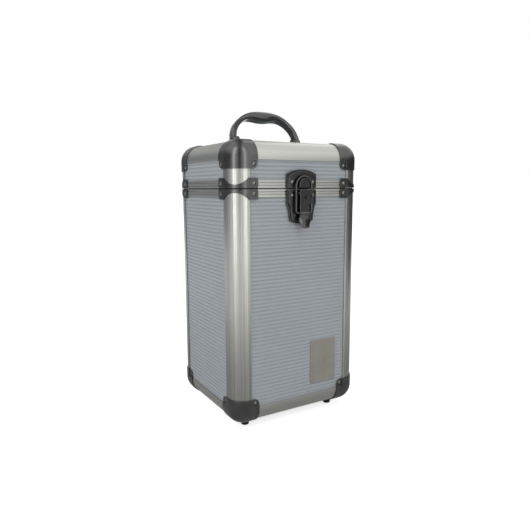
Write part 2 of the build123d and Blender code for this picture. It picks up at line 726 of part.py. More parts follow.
# Latch plates on the front
LATCH = Plane((0, -DEPTH / 2, SEAM_Z), x_dir=(1, 0, 0), z_dir=(0, -1, 0))
LATCH_LEVEL = Vector(0, -DEPTH / 2, SEAM_Z)
OUTWARD = Vector(0, -1, 0)


def strike_outline(inset):
    """Outline of the lid's latch plate, drawn in from its edge, except along the seam."""
    half = LATCH_HALF_WIDTH - inset
    Polyline((-half, STRIKE_SHOULDER - inset), (-half, STRIKE_BOTTOM), (half, STRIKE_BOTTOM))
    Line((half, STRIKE_BOTTOM), (half, STRIKE_SHOULDER - inset))
    ThreePointArc(
        (half, STRIKE_SHOULDER - inset),
        (0, STRIKE_TOP - inset),
        (-half, STRIKE_SHOULDER - inset),
    )


def base_outline(inset):
    """Outline of the body's latch plate, drawn in from its edge, except along the seam."""
    half = LATCH_HALF_WIDTH - inset
    waist = BASE_WAIST_HALF_WIDTH - inset
    heel = BASE_HEEL_HALF_WIDTH - inset
    shoulder = BASE_SHOULDER + inset / 2
    Polyline(
        (-heel, BASE_HEEL),
        (-waist, BASE_WAIST),
        (-half, shoulder),
        (-half, BASE_TOP),
        (half, BASE_TOP),
        (half, shoulder),
        (waist, BASE_WAIST),
        (heel, BASE_HEEL),
    )
    ThreePointArc((heel, BASE_HEEL), (0, BASE_BOTTOM + inset), (-heel, BASE_HEEL))


def outer_rim(plate, seam_level):
    """Edges round the foremost face of a latch plate, without the one along the seam."""
    front_edges = plate.faces().sort_by(Axis.Y)[0].edges()
    return front_edges.filter_by(lambda e: abs(e.center().Z - SEAM_Z - seam_level) > TOUCHING)


with BuildPart() as strike_plate:
    with BuildSketch(LATCH):
        with BuildLine():
            strike_outline(0)
        make_face()
    extrude(amount=LATCH_FLANGE_PROUD)
    with BuildSketch(LATCH):
        with BuildLine():
            strike_outline(LATCH_FLANGE_WIDTH)
        make_face()
    extrude(amount=LATCH_PROUD)
    fillet(outer_rim(strike_plate, STRIKE_BOTTOM), LATCH_EDGE_RADIUS)
    with BuildSketch(LATCH):
        with BuildLine():
            Polyline(
                (-CATCH_HALF_WIDTH, CATCH_TOP - CATCH_HALF_WIDTH),
                (-CATCH_HALF_WIDTH, STRIKE_BOTTOM),
                (CATCH_HALF_WIDTH, STRIKE_BOTTOM),
                (CATCH_HALF_WIDTH, CATCH_TOP - CATCH_HALF_WIDTH),
            )
            ThreePointArc(
                (CATCH_HALF_WIDTH, CATCH_TOP - CATCH_HALF_WIDTH),
                (0, CATCH_TOP),
                (-CATCH_HALF_WIDTH, CATCH_TOP - CATCH_HALF_WIDTH),
            )
        make_face()
    extrude(amount=CATCH_PROUD)
    fillet(strike_plate.faces().sort_by(Axis.Y)[0].edges(), CATCH_EDGE_RADIUS)
    with BuildSketch(LATCH):
        with Locations((-LATCH_RIVET_X, STRIKE_RIVET_LEVEL), (LATCH_RIVET_X, STRIKE_RIVET_LEVEL)):
            Circle(RIVET_HOLE_RADIUS)
    extrude(amount=LATCH_PROUD, mode=Mode.SUBTRACT)
save(strike_plate, "strike_plate")

channel_height = -CHANNEL_BOTTOM
ear_outer = LEVER_HALF_WIDTH + EAR_GAP + EAR_THICKNESS
ear_middle = ear_outer - EAR_THICKNESS / 2
with BuildPart() as latch_base:
    with BuildSketch(LATCH):
        with BuildLine():
            base_outline(0)
        make_face()
    extrude(amount=LATCH_FLANGE_PROUD)
    with BuildSketch(LATCH):
        with BuildLine():
            base_outline(LATCH_FLANGE_WIDTH)
        make_face()
    extrude(amount=LATCH_PROUD)
    fillet(outer_rim(latch_base, BASE_TOP), LATCH_EDGE_RADIUS)
    with BuildSketch(LATCH.offset(CHANNEL_FLOOR)):
        with Locations((0, CHANNEL_BOTTOM + channel_height / 2)):
            RectangleRounded(2 * CHANNEL_HALF_WIDTH, channel_height, CHANNEL_CORNER_RADIUS)
    extrude(amount=LATCH_PROUD, mode=Mode.SUBTRACT)
    with BuildSketch(LATCH):
        with Locations((-LATCH_RIVET_X, BASE_RIVET_LEVEL), (LATCH_RIVET_X, BASE_RIVET_LEVEL)):
            Circle(RIVET_HOLE_RADIUS)
    extrude(amount=LATCH_PROUD, mode=Mode.SUBTRACT)
    for x in (-ear_middle, ear_middle):
        with BuildSketch(side_profile_plane(x, LATCH_LEVEL, OUTWARD)):
            with BuildLine():
                Polyline(
                    (PIVOT_PROUD, PIVOT_LEVEL + EAR_RADIUS),
                    (CHANNEL_FLOOR - WELD, PIVOT_LEVEL + EAR_BASE_HALF_WIDTH),
                    (CHANNEL_FLOOR - WELD, PIVOT_LEVEL - EAR_BASE_HALF_WIDTH),
                    (PIVOT_PROUD, PIVOT_LEVEL - EAR_RADIUS),
                )
                ThreePointArc(
                    (PIVOT_PROUD, PIVOT_LEVEL - EAR_RADIUS),
                    (PIVOT_PROUD + EAR_RADIUS, PIVOT_LEVEL),
                    (PIVOT_PROUD, PIVOT_LEVEL + EAR_RADIUS),
                )
            make_face()
            with Locations((PIVOT_PROUD, PIVOT_LEVEL)):
                Circle(PIN_RADIUS, mode=Mode.SUBTRACT)
        extrude(amount=EAR_THICKNESS / 2, both=True)
    with BuildSketch(side_profile_plane(0, LATCH_LEVEL, OUTWARD)):
        with BuildLine():
            Polyline(
                (CHANNEL_FLOOR - WELD, KEEPER_BOTTOM),
                (KEEPER_PROUD, KEEPER_BOTTOM),
                (KEEPER_PROUD, KEEPER_TOP),
                (KEEPER_PROUD - KEEPER_LIP, KEEPER_TOP),
                (KEEPER_PROUD - KEEPER_LIP, KEEPER_BOTTOM + KEEPER_WALL),
                (CHANNEL_FLOOR - WELD, KEEPER_BOTTOM + KEEPER_WALL),
                close=True,
            )
        make_face()
    extrude(amount=KEEPER_HALF_WIDTH, both=True)
save(latch_base, "latch_base")

pivot_plane = side_profile_plane(0, LATCH_LEVEL, OUTWARD)
with BuildPart() as latch_pin:
    with BuildSketch(pivot_plane):
        with Locations((PIVOT_PROUD, PIVOT_LEVEL)):
            Circle(PIN_RADIUS)
    extrude(amount=ear_outer, both=True)
save(latch_pin, "latch_pin")

# Lever: a channel-shaped lock block that turns on the pin, with a tongue that flares out below it
TONGUE_FACE = LEVER_FACE - LEVER_STEP
block_inner = LEVER_HALF_WIDTH - LEVER_WALL
block_back = PIVOT_PROUD - LEVER_TOP_RADIUS
block_top = PIVOT_LEVEL + LEVER_TOP_RADIUS
cavity_height = block_top - LEVER_BLOCK_BOTTOM
quarter = LEVER_TOP_RADIUS * HALFWAY
flare_run = LEVER_NECK - LEVER_TIP
flare_radius = (flare_run**2 + LEVER_FLARE**2) / (2 * LEVER_FLARE)
flare_half = flare_run / 2
flare_half_rise = flare_radius - sqrt(flare_radius**2 - flare_half**2)
with BuildPart() as latch_lever:
    with BuildSketch(pivot_plane):
        with BuildLine():
            ThreePointArc(
                (PIVOT_PROUD, block_top),
                (PIVOT_PROUD - quarter, PIVOT_LEVEL + quarter),
                (block_back, PIVOT_LEVEL),
            )
            Polyline(
                (block_back, PIVOT_LEVEL),
                (block_back, LOCK_LEVEL - LOCK_RADIUS),
                (CHEEK_PROUD, LEVER_BLOCK_BOTTOM),
                (LEVER_FACE, LEVER_BLOCK_BOTTOM),
                (LEVER_FACE, block_top - LEVER_EDGE_RADIUS),
            )
            RadiusArc(
                (LEVER_FACE, block_top - LEVER_EDGE_RADIUS),
                (LEVER_FACE - LEVER_EDGE_RADIUS, block_top),
                -LEVER_EDGE_RADIUS,
            )
            Line((LEVER_FACE - LEVER_EDGE_RADIUS, block_top), (PIVOT_PROUD, block_top))
        make_face()
    extrude(amount=LEVER_HALF_WIDTH, both=True)
    with BuildSketch(pivot_plane):
        with Locations((LOCK_BACK, LEVER_BLOCK_BOTTOM)):
            Rectangle(2 * LOCK_BACK, 2 * cavity_height, align=(Align.MAX, Align.CENTER))
        with Locations((LEVER_FACE - LEVER_WALL, LEVER_BLOCK_BOTTOM + LEVER_WALL)):
            Rectangle(2 * LOCK_BACK, 2 * cavity_height, align=(Align.MAX, Align.MIN))
    extrude(amount=block_inner, both=True, mode=Mode.SUBTRACT)
    with BuildSketch(pivot_plane):
        with BuildLine():
            Polyline(
                (TONGUE_FACE + LEVER_FLARE - LEVER_WALL, LEVER_TIP),
                (TONGUE_FACE + LEVER_FLARE, LEVER_TIP),
            )
            ThreePointArc(
                (TONGUE_FACE + LEVER_FLARE, LEVER_TIP),
                (TONGUE_FACE + flare_half_rise, LEVER_NECK - flare_half),
                (TONGUE_FACE, LEVER_NECK),
            )
            Polyline(
                (TONGUE_FACE, LEVER_NECK),
                (TONGUE_FACE, LEVER_BLOCK_BOTTOM + LEVER_WALL),
                (TONGUE_FACE - LEVER_WALL, LEVER_BLOCK_BOTTOM + LEVER_WALL),
                (TONGUE_FACE - LEVER_WALL, LEVER_NECK),
            )
            ThreePointArc(
                (TONGUE_FACE - LEVER_WALL, LEVER_NECK),
                (TONGUE_FACE - LEVER_WALL + flare_half_rise, LEVER_NECK - flare_half),
                (TONGUE_FACE + LEVER_FLARE - LEVER_WALL, LEVER_TIP),
            )
        make_face()
    extrude(amount=LEVER_SHOULDER_HALF_WIDTH, both=True)
    for x in (-1, 1):
        cheek_middle = x * (LEVER_NECK_HALF_WIDTH - CHEEK_THICKNESS / 2)
        with BuildSketch(side_profile_plane(cheek_middle, LATCH_LEVEL, OUTWARD)):
            with BuildLine():
                Polyline(
                    (CHEEK_PROUD, LEVER_BLOCK_BOTTOM + LEVER_WALL),
                    (CHEEK_PROUD, BAIL_LEVEL),
                    (TONGUE_FACE - WELD, CHEEK_BOTTOM),
                    (TONGUE_FACE - WELD, LEVER_BLOCK_BOTTOM + LEVER_WALL),
                    close=True,
                )
            make_face()
        extrude(amount=CHEEK_THICKNESS / 2, both=True)
    with BuildSketch(LATCH):
        with BuildLine():
            Polyline(
                (0, block_top),
                (LEVER_HALF_WIDTH, block_top),
                (LEVER_HALF_WIDTH, LEVER_BLOCK_BOTTOM),
                (LEVER_NECK_HALF_WIDTH + LEVER_EDGE_RADIUS / 2, LEVER_BLOCK_BOTTOM),
                (LEVER_NECK_HALF_WIDTH, LEVER_NECK),
            )
            Spline(
                (LEVER_NECK_HALF_WIDTH, LEVER_NECK),
                (LEVER_SHOULDER_HALF_WIDTH, LEVER_SHOULDER),
                (LEVER_ROUNDING_HALF_WIDTH, LEVER_ROUNDING),
                (0, LEVER_TIP),
                tangents=((0, -1), (-1, 0)),
            )
            mirror(about=Plane.YZ)
        make_face()
    extrude(amount=2 * LEVER_FACE, mode=Mode.INTERSECT)
    with BuildSketch(LATCH.offset(LOCK_BACK)):
        with Locations((0, LOCK_LEVEL)):
            Circle(LOCK_HOUSING_RADIUS)
    extrude(amount=LEVER_FACE - LOCK_BACK)
    with BuildSketch(LATCH):
        with Locations((0, LOCK_LEVEL)):
            Circle(LOCK_RADIUS + RUNNING_PLAY)
    extrude(amount=2 * LEVER_FACE, mode=Mode.SUBTRACT)
    with BuildSketch(pivot_plane):
        with Locations((PIVOT_PROUD, PIVOT_LEVEL)):
            Circle(PIN_RADIUS + RUNNING_PLAY)
        with Locations((BAIL_PROUD, BAIL_LEVEL)):
            Circle(BAIL_RADIUS + RUNNING_PLAY)
    extrude(amount=LEVER_HALF_WIDTH, both=True, mode=Mode.SUBTRACT)
save(latch_lever, "latch_lever")

# Lock plug with its keyway, spindle and cam
with BuildPart() as lock_cylinder:
    with BuildSketch(LATCH.offset(LOCK_BACK)):
        with Locations((0, LOCK_LEVEL)):
            Circle(LOCK_RADIUS)
    extrude(amount=LEVER_FACE - LOCK_RECESS - LOCK_BACK)
    with BuildSketch(LATCH.offset(LEVER_FACE - LOCK_RECESS)):
        with Locations((0, LOCK_LEVEL)):
            SlotOverall(KEYWAY_LENGTH, KEYWAY_WIDTH, rotation=90)
    extrude(amount=-KEYWAY_DEPTH, mode=Mode.SUBTRACT)
    with BuildSketch(LATCH.offset(CAM_BACK)):
        with Locations((0, LOCK_LEVEL)):
            Circle(SPINDLE_RADIUS)
    extrude(amount=LOCK_BACK - CAM_BACK)
    with BuildSketch(LATCH.offset(CAM_BACK)):
        with Locations((0, LOCK_LEVEL)):
            Circle(SPINDLE_RADIUS)
        with Locations((CAM_LENGTH / 2, LOCK_LEVEL)):
            Rectangle(CAM_LENGTH, 2 * SPINDLE_RADIUS)
    extrude(amount=CAM_THICKNESS)
save(lock_cylinder, "lock_cylinder")

# Wire bail: an arch over the catch whose two ends turn in the lever's cheeks
arch_top = CATCH_TOP + BAIL_ARCH_GAP + BAIL_RADIUS
arch_level = arch_top - BAIL_ARCH_HEIGHT
bend_level = BAIL_LEVEL + BAIL_BEND_RADIUS
bend_x = BAIL_HALF_WIDTH - BAIL_BEND_RADIUS
bail_plane = LATCH.offset(BAIL_PROUD)
with BuildPart() as latch_bail:
    with BuildLine(bail_plane) as bail_wire:
        Line((-BAIL_END, BAIL_LEVEL), (-bend_x, BAIL_LEVEL))
        RadiusArc((-bend_x, BAIL_LEVEL), (-BAIL_HALF_WIDTH, bend_level), BAIL_BEND_RADIUS)
        Line((-BAIL_HALF_WIDTH, bend_level), (-BAIL_HALF_WIDTH, arch_level))
        Bezier(
            (-BAIL_HALF_WIDTH, arch_level),
            (-BAIL_HALF_WIDTH, arch_level + BAIL_ARCH_RISE),
            (-BAIL_ARCH_CROWN, arch_top),
            (0, arch_top),
        )
        Bezier(
            (0, arch_top),
            (BAIL_ARCH_CROWN, arch_top),
            (BAIL_HALF_WIDTH, arch_level + BAIL_ARCH_RISE),
            (BAIL_HALF_WIDTH, arch_level),
        )
        Line((BAIL_HALF_WIDTH, arch_level), (BAIL_HALF_WIDTH, bend_level))
        RadiusArc((BAIL_HALF_WIDTH, bend_level), (bend_x, BAIL_LEVEL), BAIL_BEND_RADIUS)
        Line((bend_x, BAIL_LEVEL), (BAIL_END, BAIL_LEVEL))
    bail_start = bail_plane.from_local_coords((-BAIL_END, BAIL_LEVEL, 0))
    with BuildSketch(Plane(bail_start, x_dir=(0, 0, 1), z_dir=(-1, 0, 0))):
        Circle(BAIL_RADIUS)
    sweep()
save(latch_bail, "latch_bail")

# Back hinges
HINGE_LEVEL = Vector(0, DEPTH / 2, SEAM_Z)
BACKWARD = Vector(0, 1, 0)
knuckle_inner = HINGE_MIDDLE_HALF_WIDTH + HINGE_KNUCKLE_GAP
outer_knuckle = HINGE_HALF_WIDTH - knuckle_inner


def hinge_leaf(centre_x, up, knuckle_places, knuckle_length, bore_radius):
    """Leaf on the back, on one side of the seam, with the knuckles that it carries."""
    rivet_xs = (centre_x - HINGE_RIVET_X, centre_x + HINGE_RIVET_X)
    near = up * HINGE_LEAF_GAP
    rail_edge = up * (SEAM / 2 + RIM_HEIGHT + PANEL_END_GAP)
    far = up * (HINGE_LEAF_GAP + HINGE_LEAF_HEIGHT)
    leaf_plane = Plane(HINGE_LEVEL, x_dir=(-1, 0, 0), z_dir=BACKWARD)
    with BuildPart() as leaf:
        with BuildSketch(leaf_plane):
            with Locations((-centre_x, (near + far) / 2)):
                Rectangle(2 * HINGE_HALF_WIDTH, HINGE_LEAF_HEIGHT)
        extrude(amount=HINGE_LEAF_THICKNESS)
        with BuildSketch(leaf_plane.offset(-PANEL_OUTER)):
            with Locations((-centre_x, (rail_edge + far) / 2)):
                Rectangle(2 * HINGE_HALF_WIDTH, abs(far - rail_edge))
        extrude(amount=PANEL_OUTER)
        corners = leaf.edges().filter_by(Axis.Y).group_by(Axis.Z)[-1 if up > 0 else 0]
        fillet(corners, HINGE_CORNER_RADIUS)
        for place in knuckle_places:
            with BuildSketch(side_profile_plane(centre_x + place, HINGE_LEVEL, BACKWARD)):
                with Locations((HINGE_PROUD, 0)):
                    Circle(HINGE_BARREL_RADIUS)
                with Locations((HINGE_PROUD / 2, up * (HINGE_LEAF_GAP + HINGE_BARREL_RADIUS) / 2)):
                    Rectangle(HINGE_PROUD, HINGE_BARREL_RADIUS - HINGE_LEAF_GAP)
                with Locations((HINGE_PROUD, 0)):
                    Circle(bore_radius, mode=Mode.SUBTRACT)
            extrude(amount=knuckle_length / 2, both=True)
        with BuildSketch(leaf_plane.offset(-PANEL_OUTER)):
            with Locations(*[(-x, up * HINGE_RIVET_LEVEL) for x in rivet_xs]):
                Circle(RIVET_HOLE_RADIUS)
        extrude(amount=THROUGH / 2, mode=Mode.SUBTRACT)
    return leaf


outer_places = (-(knuckle_inner + outer_knuckle / 2), knuckle_inner + outer_knuckle / 2)
case_leaf_forms = [
    hinge_leaf(x, -1, outer_places, outer_knuckle, HINGE_PIN_RADIUS)
    for x in (-HINGE_X, HINGE_X)
]
with BuildPart() as hinge_case_leaves:
    add([form.part for form in case_leaf_forms])
save(hinge_case_leaves, "hinge_case_leaves")

lid_bore = HINGE_PIN_RADIUS + RUNNING_PLAY
lid_leaf_forms = [
    hinge_leaf(x, 1, (0,), 2 * HINGE_MIDDLE_HALF_WIDTH, lid_bore)
    for x in (-HINGE_X, HINGE_X)
]
with BuildPart() as hinge_lid_leaves:
    add([form.part for form in lid_leaf_forms])
save(hinge_lid_leaves, "hinge_lid_leaves")

with BuildPart() as hinge_pins:
    for centre_x in (-HINGE_X, HINGE_X):
        with BuildSketch(side_profile_plane(centre_x, HINGE_LEVEL, BACKWARD)):
            with Locations((HINGE_PROUD, 0)):
                Circle(HINGE_PIN_RADIUS)
        extrude(amount=HINGE_HALF_WIDTH, both=True)
save(hinge_pins, "hinge_pins")

# Handle, drawn in its own leaning plane: x to the right, y from the pivot towards the grip
HANDLE_PIVOT = Vector(0, 0, PANEL_TOP_Z + HANDLE_PIVOT_HEIGHT)
HANDLE_UP = Vector(0, sin(radians(HANDLE_TILT)), cos(radians(HANDLE_TILT)))
HANDLE_ACROSS = Vector(1, 0, 0).cross(HANDLE_UP)


def eased(value, start, end):
    """Rises smoothly from 0 at start to 1 at end."""
    share = min(max((value - start) / (end - start), 0), 1)
    return share * share * (3 - 2 * share)


def blend(low, high, share):
    return low + (high - low) * share


with BuildPart() as handle:
    for station in range(HANDLE_STATIONS + 1):
        angle = pi * station / HANDLE_STATIONS
        power = 2 / HANDLE_SQUARENESS
        reach_x = abs(cos(angle)) ** power * (1 if cos(angle) > 0 else -1)
        reach_y = abs(sin(angle)) ** power
        slope = HANDLE_SQUARENESS - 1
        normal_x = abs(reach_x) ** slope / HANDLE_HALF_WIDTH * (1 if reach_x > 0 else -1)
        normal_y = reach_y**slope / HANDLE_REACH
        outward = (Vector(1, 0, 0) * normal_x + HANDLE_UP * normal_y).normalized()
        across_point = Vector(reach_x * HANDLE_HALF_WIDTH, 0, 0)
        outer = HANDLE_PIVOT + across_point + HANDLE_UP * reach_y * HANDLE_REACH
        distance = abs(reach_x) * HANDLE_HALF_WIDTH
        belly = eased(distance, HANDLE_BELLY_START, HANDLE_BELLY_END)
        body = eased(distance, HANDLE_HALF_WIDTH, HANDLE_BELLY_END)
        thickness = blend(HANDLE_LEG_THICKNESS, HANDLE_GRIP_THICKNESS, belly)
        depth = blend(HANDLE_LEG_DEPTH, HANDLE_GRIP_DEPTH, body)
        rounding = blend(HANDLE_LEG_ROUNDING, HANDLE_GRIP_ROUNDING, belly)
        along_grip = HANDLE_ACROSS.cross(outward)
        with BuildSketch(Plane(outer - outward * thickness / 2, x_dir=outward, z_dir=along_grip)):
            RectangleRounded(thickness, depth, rounding)
    loft()
    for x in (-1, 1):
        leg_x = x * (HANDLE_HALF_WIDTH - HANDLE_LEG_THICKNESS / 2)
        with BuildSketch(Plane(HANDLE_PIVOT + Vector(leg_x, 0, 0), x_dir=(0, 1, 0), z_dir=(1, 0, 0))):
            Circle(HANDLE_BOSS_RADIUS)
        extrude(amount=HANDLE_LEG_THICKNESS / 2 + HANDLE_BOSS_PROUD, both=True)
        boss_face = HANDLE_PIVOT + Vector(x * HANDLE_INNER, 0, 0)
        with BuildSketch(Plane(boss_face, x_dir=(0, x, 0), z_dir=(x, 0, 0))):
            Circle(HANDLE_PIN_RADIUS + RUNNING_PLAY)
        extrude(amount=HANDLE_PIN_DEPTH, mode=Mode.SUBTRACT)
save(handle, "handle")

# Handle brackets and pins on the lid
with BuildPart() as handle_brackets:
    ear_middle_x = (BRACKET_OUTER + BRACKET_INNER) / 2
    foot_middle_x = BRACKET_OUTER - (BRACKET_FOOT_LENGTH + BRACKET_EAR_THICKNESS) / 2
    for x in (-1, 1):
        with BuildSketch(Plane((x * ear_middle_x, 0, HANDLE_PIVOT.Z), x_dir=(0, 1, 0), z_dir=(1, 0, 0))):
            Circle(BRACKET_EAR_RADIUS)
            with Locations((0, -HANDLE_PIVOT_HEIGHT / 2)):
                Rectangle(2 * BRACKET_EAR_RADIUS, HANDLE_PIVOT_HEIGHT)
            Circle(HANDLE_PIN_RADIUS, mode=Mode.SUBTRACT)
        extrude(amount=BRACKET_EAR_THICKNESS / 2, both=True)
        with BuildSketch(Plane.XY.offset(PANEL_TOP_Z)):
            with Locations((x * foot_middle_x, 0)):
                RectangleRounded(
                    BRACKET_FOOT_LENGTH + BRACKET_EAR_THICKNESS,
                    BRACKET_FOOT_DEPTH,
                    BRACKET_CORNER_RADIUS,
                )
            with Locations((x * BRACKET_RIVET_X, 0)):
                Circle(RIVET_HOLE_RADIUS, mode=Mode.SUBTRACT)
        extrude(amount=BRACKET_FOOT_THICKNESS)
save(handle_brackets, "handle_brackets")

with BuildPart() as handle_pins:
    for x in (-1, 1):
        head_start = x * (BRACKET_INNER - HANDLE_PIN_HEAD)
        with BuildSketch(Plane((head_start, 0, HANDLE_PIVOT.Z), x_dir=(0, x, 0), z_dir=(x, 0, 0))):
            Circle(HANDLE_PIN_HEAD_RADIUS)
        extrude(amount=HANDLE_PIN_HEAD)
        with BuildSketch(Plane((head_start, 0, HANDLE_PIVOT.Z), x_dir=(0, x, 0), z_dir=(x, 0, 0))):
            Circle(HANDLE_PIN_RADIUS)
        pin_end = HANDLE_INNER + HANDLE_PIN_DEPTH - BRACKET_SIDE_GAP
        extrude(amount=pin_end - BRACKET_INNER + HANDLE_PIN_HEAD)
save(handle_pins, "handle_pins")

# Rivets, one group on the body and one on the lid
cap_seats = [s for side in SIDES for s in cap_rivet_seats(corner_plane(side, BASE_Z))[1:]]
latch_seats = face_seats("front", latch_points(SEAM_ABOVE_BASE + BASE_RIVET_LEVEL), BASE_Z, -LATCH_PROUD)
case_hinge_points = hinge_points(SEAM_ABOVE_BASE - HINGE_RIVET_LEVEL)
hinge_seats = face_seats("back", case_hinge_points, BASE_Z, -HINGE_LEAF_THICKNESS)
cap_rivet = rivet_form(-CAP_TAB_PROUD)
brace_rivet = rivet_form(-BRACE_THICKNESS)
latch_rivet = rivet_form(-LATCH_PROUD)
hinge_rivet = rivet_form(-HINGE_LEAF_THICKNESS)
bracket_rivet = rivet_form(PANEL_OUTER - BRACKET_FOOT_THICKNESS)
with BuildPart() as case_rivets:
    place_forms(cap_rivet, cap_seats)
    place_forms(brace_rivet, brace_seats)
    place_forms(latch_rivet, latch_seats)
    place_forms(hinge_rivet, hinge_seats)
save(case_rivets, "case_rivets")

lid_cap_seats = [s for side in SIDES for s in cap_rivet_seats(hanging_corner_plane(side, TOP_Z))]
strike_seats = face_seats("front", latch_points(SEAM_ABOVE_LID + STRIKE_RIVET_LEVEL), LID_Z, -LATCH_PROUD)
lid_hinge_points = hinge_points(SEAM_ABOVE_LID + HINGE_RIVET_LEVEL)
lid_hinge_seats = face_seats("back", lid_hinge_points, LID_Z, -HINGE_LEAF_THICKNESS)
bracket_top = PANEL_TOP_Z + BRACKET_FOOT_THICKNESS
bracket_seats = [Plane((x * BRACKET_RIVET_X, 0, bracket_top)) for x in (-1, 1)]
with BuildPart() as lid_rivets:
    place_forms(cap_rivet, lid_cap_seats)
    place_forms(brace_rivet, lid_brace_seats)
    place_forms(latch_rivet, strike_seats)
    place_forms(hinge_rivet, lid_hinge_seats)
    place_forms(bracket_rivet, bracket_seats)
save(lid_rivets, "lid_rivets")
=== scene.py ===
import json
from math import cos, pi, radians, sin

import bmesh
import bpy
from mathutils import Matrix, Vector, noise


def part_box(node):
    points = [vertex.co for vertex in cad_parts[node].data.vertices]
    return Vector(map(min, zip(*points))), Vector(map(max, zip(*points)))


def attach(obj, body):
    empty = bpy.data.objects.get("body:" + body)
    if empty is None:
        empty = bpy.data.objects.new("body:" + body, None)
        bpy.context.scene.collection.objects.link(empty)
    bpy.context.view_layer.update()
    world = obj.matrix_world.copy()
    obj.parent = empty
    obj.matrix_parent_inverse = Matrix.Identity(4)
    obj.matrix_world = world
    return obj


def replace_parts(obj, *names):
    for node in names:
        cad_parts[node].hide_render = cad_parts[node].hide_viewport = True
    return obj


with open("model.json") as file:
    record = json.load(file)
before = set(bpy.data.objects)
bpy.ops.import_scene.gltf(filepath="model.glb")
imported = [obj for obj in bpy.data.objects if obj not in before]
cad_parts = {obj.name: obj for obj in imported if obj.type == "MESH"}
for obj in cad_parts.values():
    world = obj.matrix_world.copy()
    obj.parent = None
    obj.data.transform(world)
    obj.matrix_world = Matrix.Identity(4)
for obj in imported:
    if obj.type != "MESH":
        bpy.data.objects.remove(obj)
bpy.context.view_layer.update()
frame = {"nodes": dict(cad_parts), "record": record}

MM = 0.001

# Camera, where the photograph was taken from; turns are in degrees
IMAGE_SIDE = 530
FOCAL_PIXELS = 510.3
SENSOR = 36.0
CAMERA_PLACE = Vector((-0.3830, -0.6429, 0.3212))
CAMERA_YAW = 30.64
CAMERA_PITCH = 8.60
CAMERA_ROLL = -0.26


def srgb(red, green, blue):
    """Linear colour of a tone as it is seen on screen."""
    def linear(value):
        return value / 12.92 if value <= 0.04045 else ((value + 0.055) / 1.055) ** 2.4
    return (linear(red), linear(green), linear(blue), 1.0)


# Material building


class Nodes:
    """A material's node tree with short calls to add and join nodes."""

    def __init__(self, name):
        self.name = name
        self.material = bpy.data.materials.new(name)
        self.material.use_nodes = True
        self.tree = self.material.node_tree
        self.shader = self.tree.nodes["Principled BSDF"]
        self.output = self.tree.nodes["Material Output"]

    def add(self, kind, inputs=None, **settings):
        node = self.tree.nodes.new("ShaderNode" + kind)
        for key, value in settings.items():
            setattr(node, key, value)
        for key, value in (inputs or {}).items():
            self.set(node.inputs[key], value)
        return node

    def set(self, socket, value):
        if isinstance(value, bpy.types.NodeSocket):
            self.tree.links.new(value, socket)
        else:
            socket.default_value = value

    def surface(self, **inputs):
        for key, value in inputs.items():
            self.set(self.shader.inputs[key.replace("_", " ")], value)

    def place(self, scale=(1, 1, 1)):
        """Position on the object, in steps of 1 / scale metres along each axis."""
        spot = self.add("TexCoord").outputs["Object"]
        return self.add("Mapping", {"Vector": spot, "Scale": scale}).outputs["Vector"]

    def noise(self, scale, detail=3.0, roughness=0.5, stretch=(1, 1, 1)):
        vector = self.place(tuple(scale * s for s in stretch))
        inputs = {"Vector": vector, "Scale": 1.0, "Detail": detail, "Roughness": roughness}
        return self.add("TexNoise", inputs).outputs["Fac"]

    def ramp(self, value, low, high, start=0.0, end=1.0):
        """Runs from low to high while value runs from start to end."""
        inputs = {"Value": value, "From Min": start, "From Max": end, "To Min": low, "To Max": high}
        return self.add("MapRange", inputs).outputs["Result"]

    def mix(self, share, first, second):
        node = self.add("Mix", data_type="RGBA")
        self.set(node.inputs[0], share)
        self.set(node.inputs[6], first)
        self.set(node.inputs[7], second)
        return node.outputs[2]

    def math(self, operation, first, second=0.0):
        node = self.add("Math", operation=operation)
        self.set(node.inputs[0], first)
        self.set(node.inputs[1], second)
        return node.outputs[0]

    def bump(self, height, strength, distance, edge=0.0, below=None):
        """Normal from a height, over the normal below or else over edges softened by a radius."""
        inputs = {"Height": height, "Strength": strength, "Distance": distance}
        if below is not None:
            inputs["Normal"] = below
        elif edge:
            inputs["Normal"] = self.add("Bevel", {"Radius": edge}, samples=6).outputs["Normal"]
        return self.add("Bump", inputs).outputs["Normal"]

    def edge_wear_and_highlight(self, reach):
        """Near 1 on sharp outer edges, broken up by noise: used for edge wear and for painted edge
        highlights.
        """
        inside = self.add("AmbientOcclusion", {"Distance": reach}, inside=True, samples=8).outputs["AO"]
        edge = self.ramp(inside, 1.0, 0.0, 0.55, 0.95)
        patches = self.ramp(self.noise(180), 0.55, 1.0, 0.35, 0.65)
        return self.math("MULTIPLY", edge, patches)

    def painted_crease_shade(self, reach):
        """Painted shade: near 1 down in narrow joins and inner corners, where shade falls."""
        open_share = self.add("AmbientOcclusion", {"Distance": reach}, samples=8).outputs["AO"]
        return self.ramp(open_share, 0.9, 0.0, 0.45, 0.85)

    def fade(self, along, half, soft):
        """1 in the middle of a card and 0 from half away from it, along object axis 0 or 1."""
        spot = self.add("TexCoord").outputs["Object"]
        value = self.add("SeparateXYZ", {"Vector": spot}).outputs[along]
        return self.ramp(self.math("ABSOLUTE", value), 1.0, 0.0, half - soft, half)


def drawn(along, stretch):
    """Texture scales that draw a noise out into lines along one axis."""
    return tuple(stretch if axis == along else 1.0 for axis in range(3))


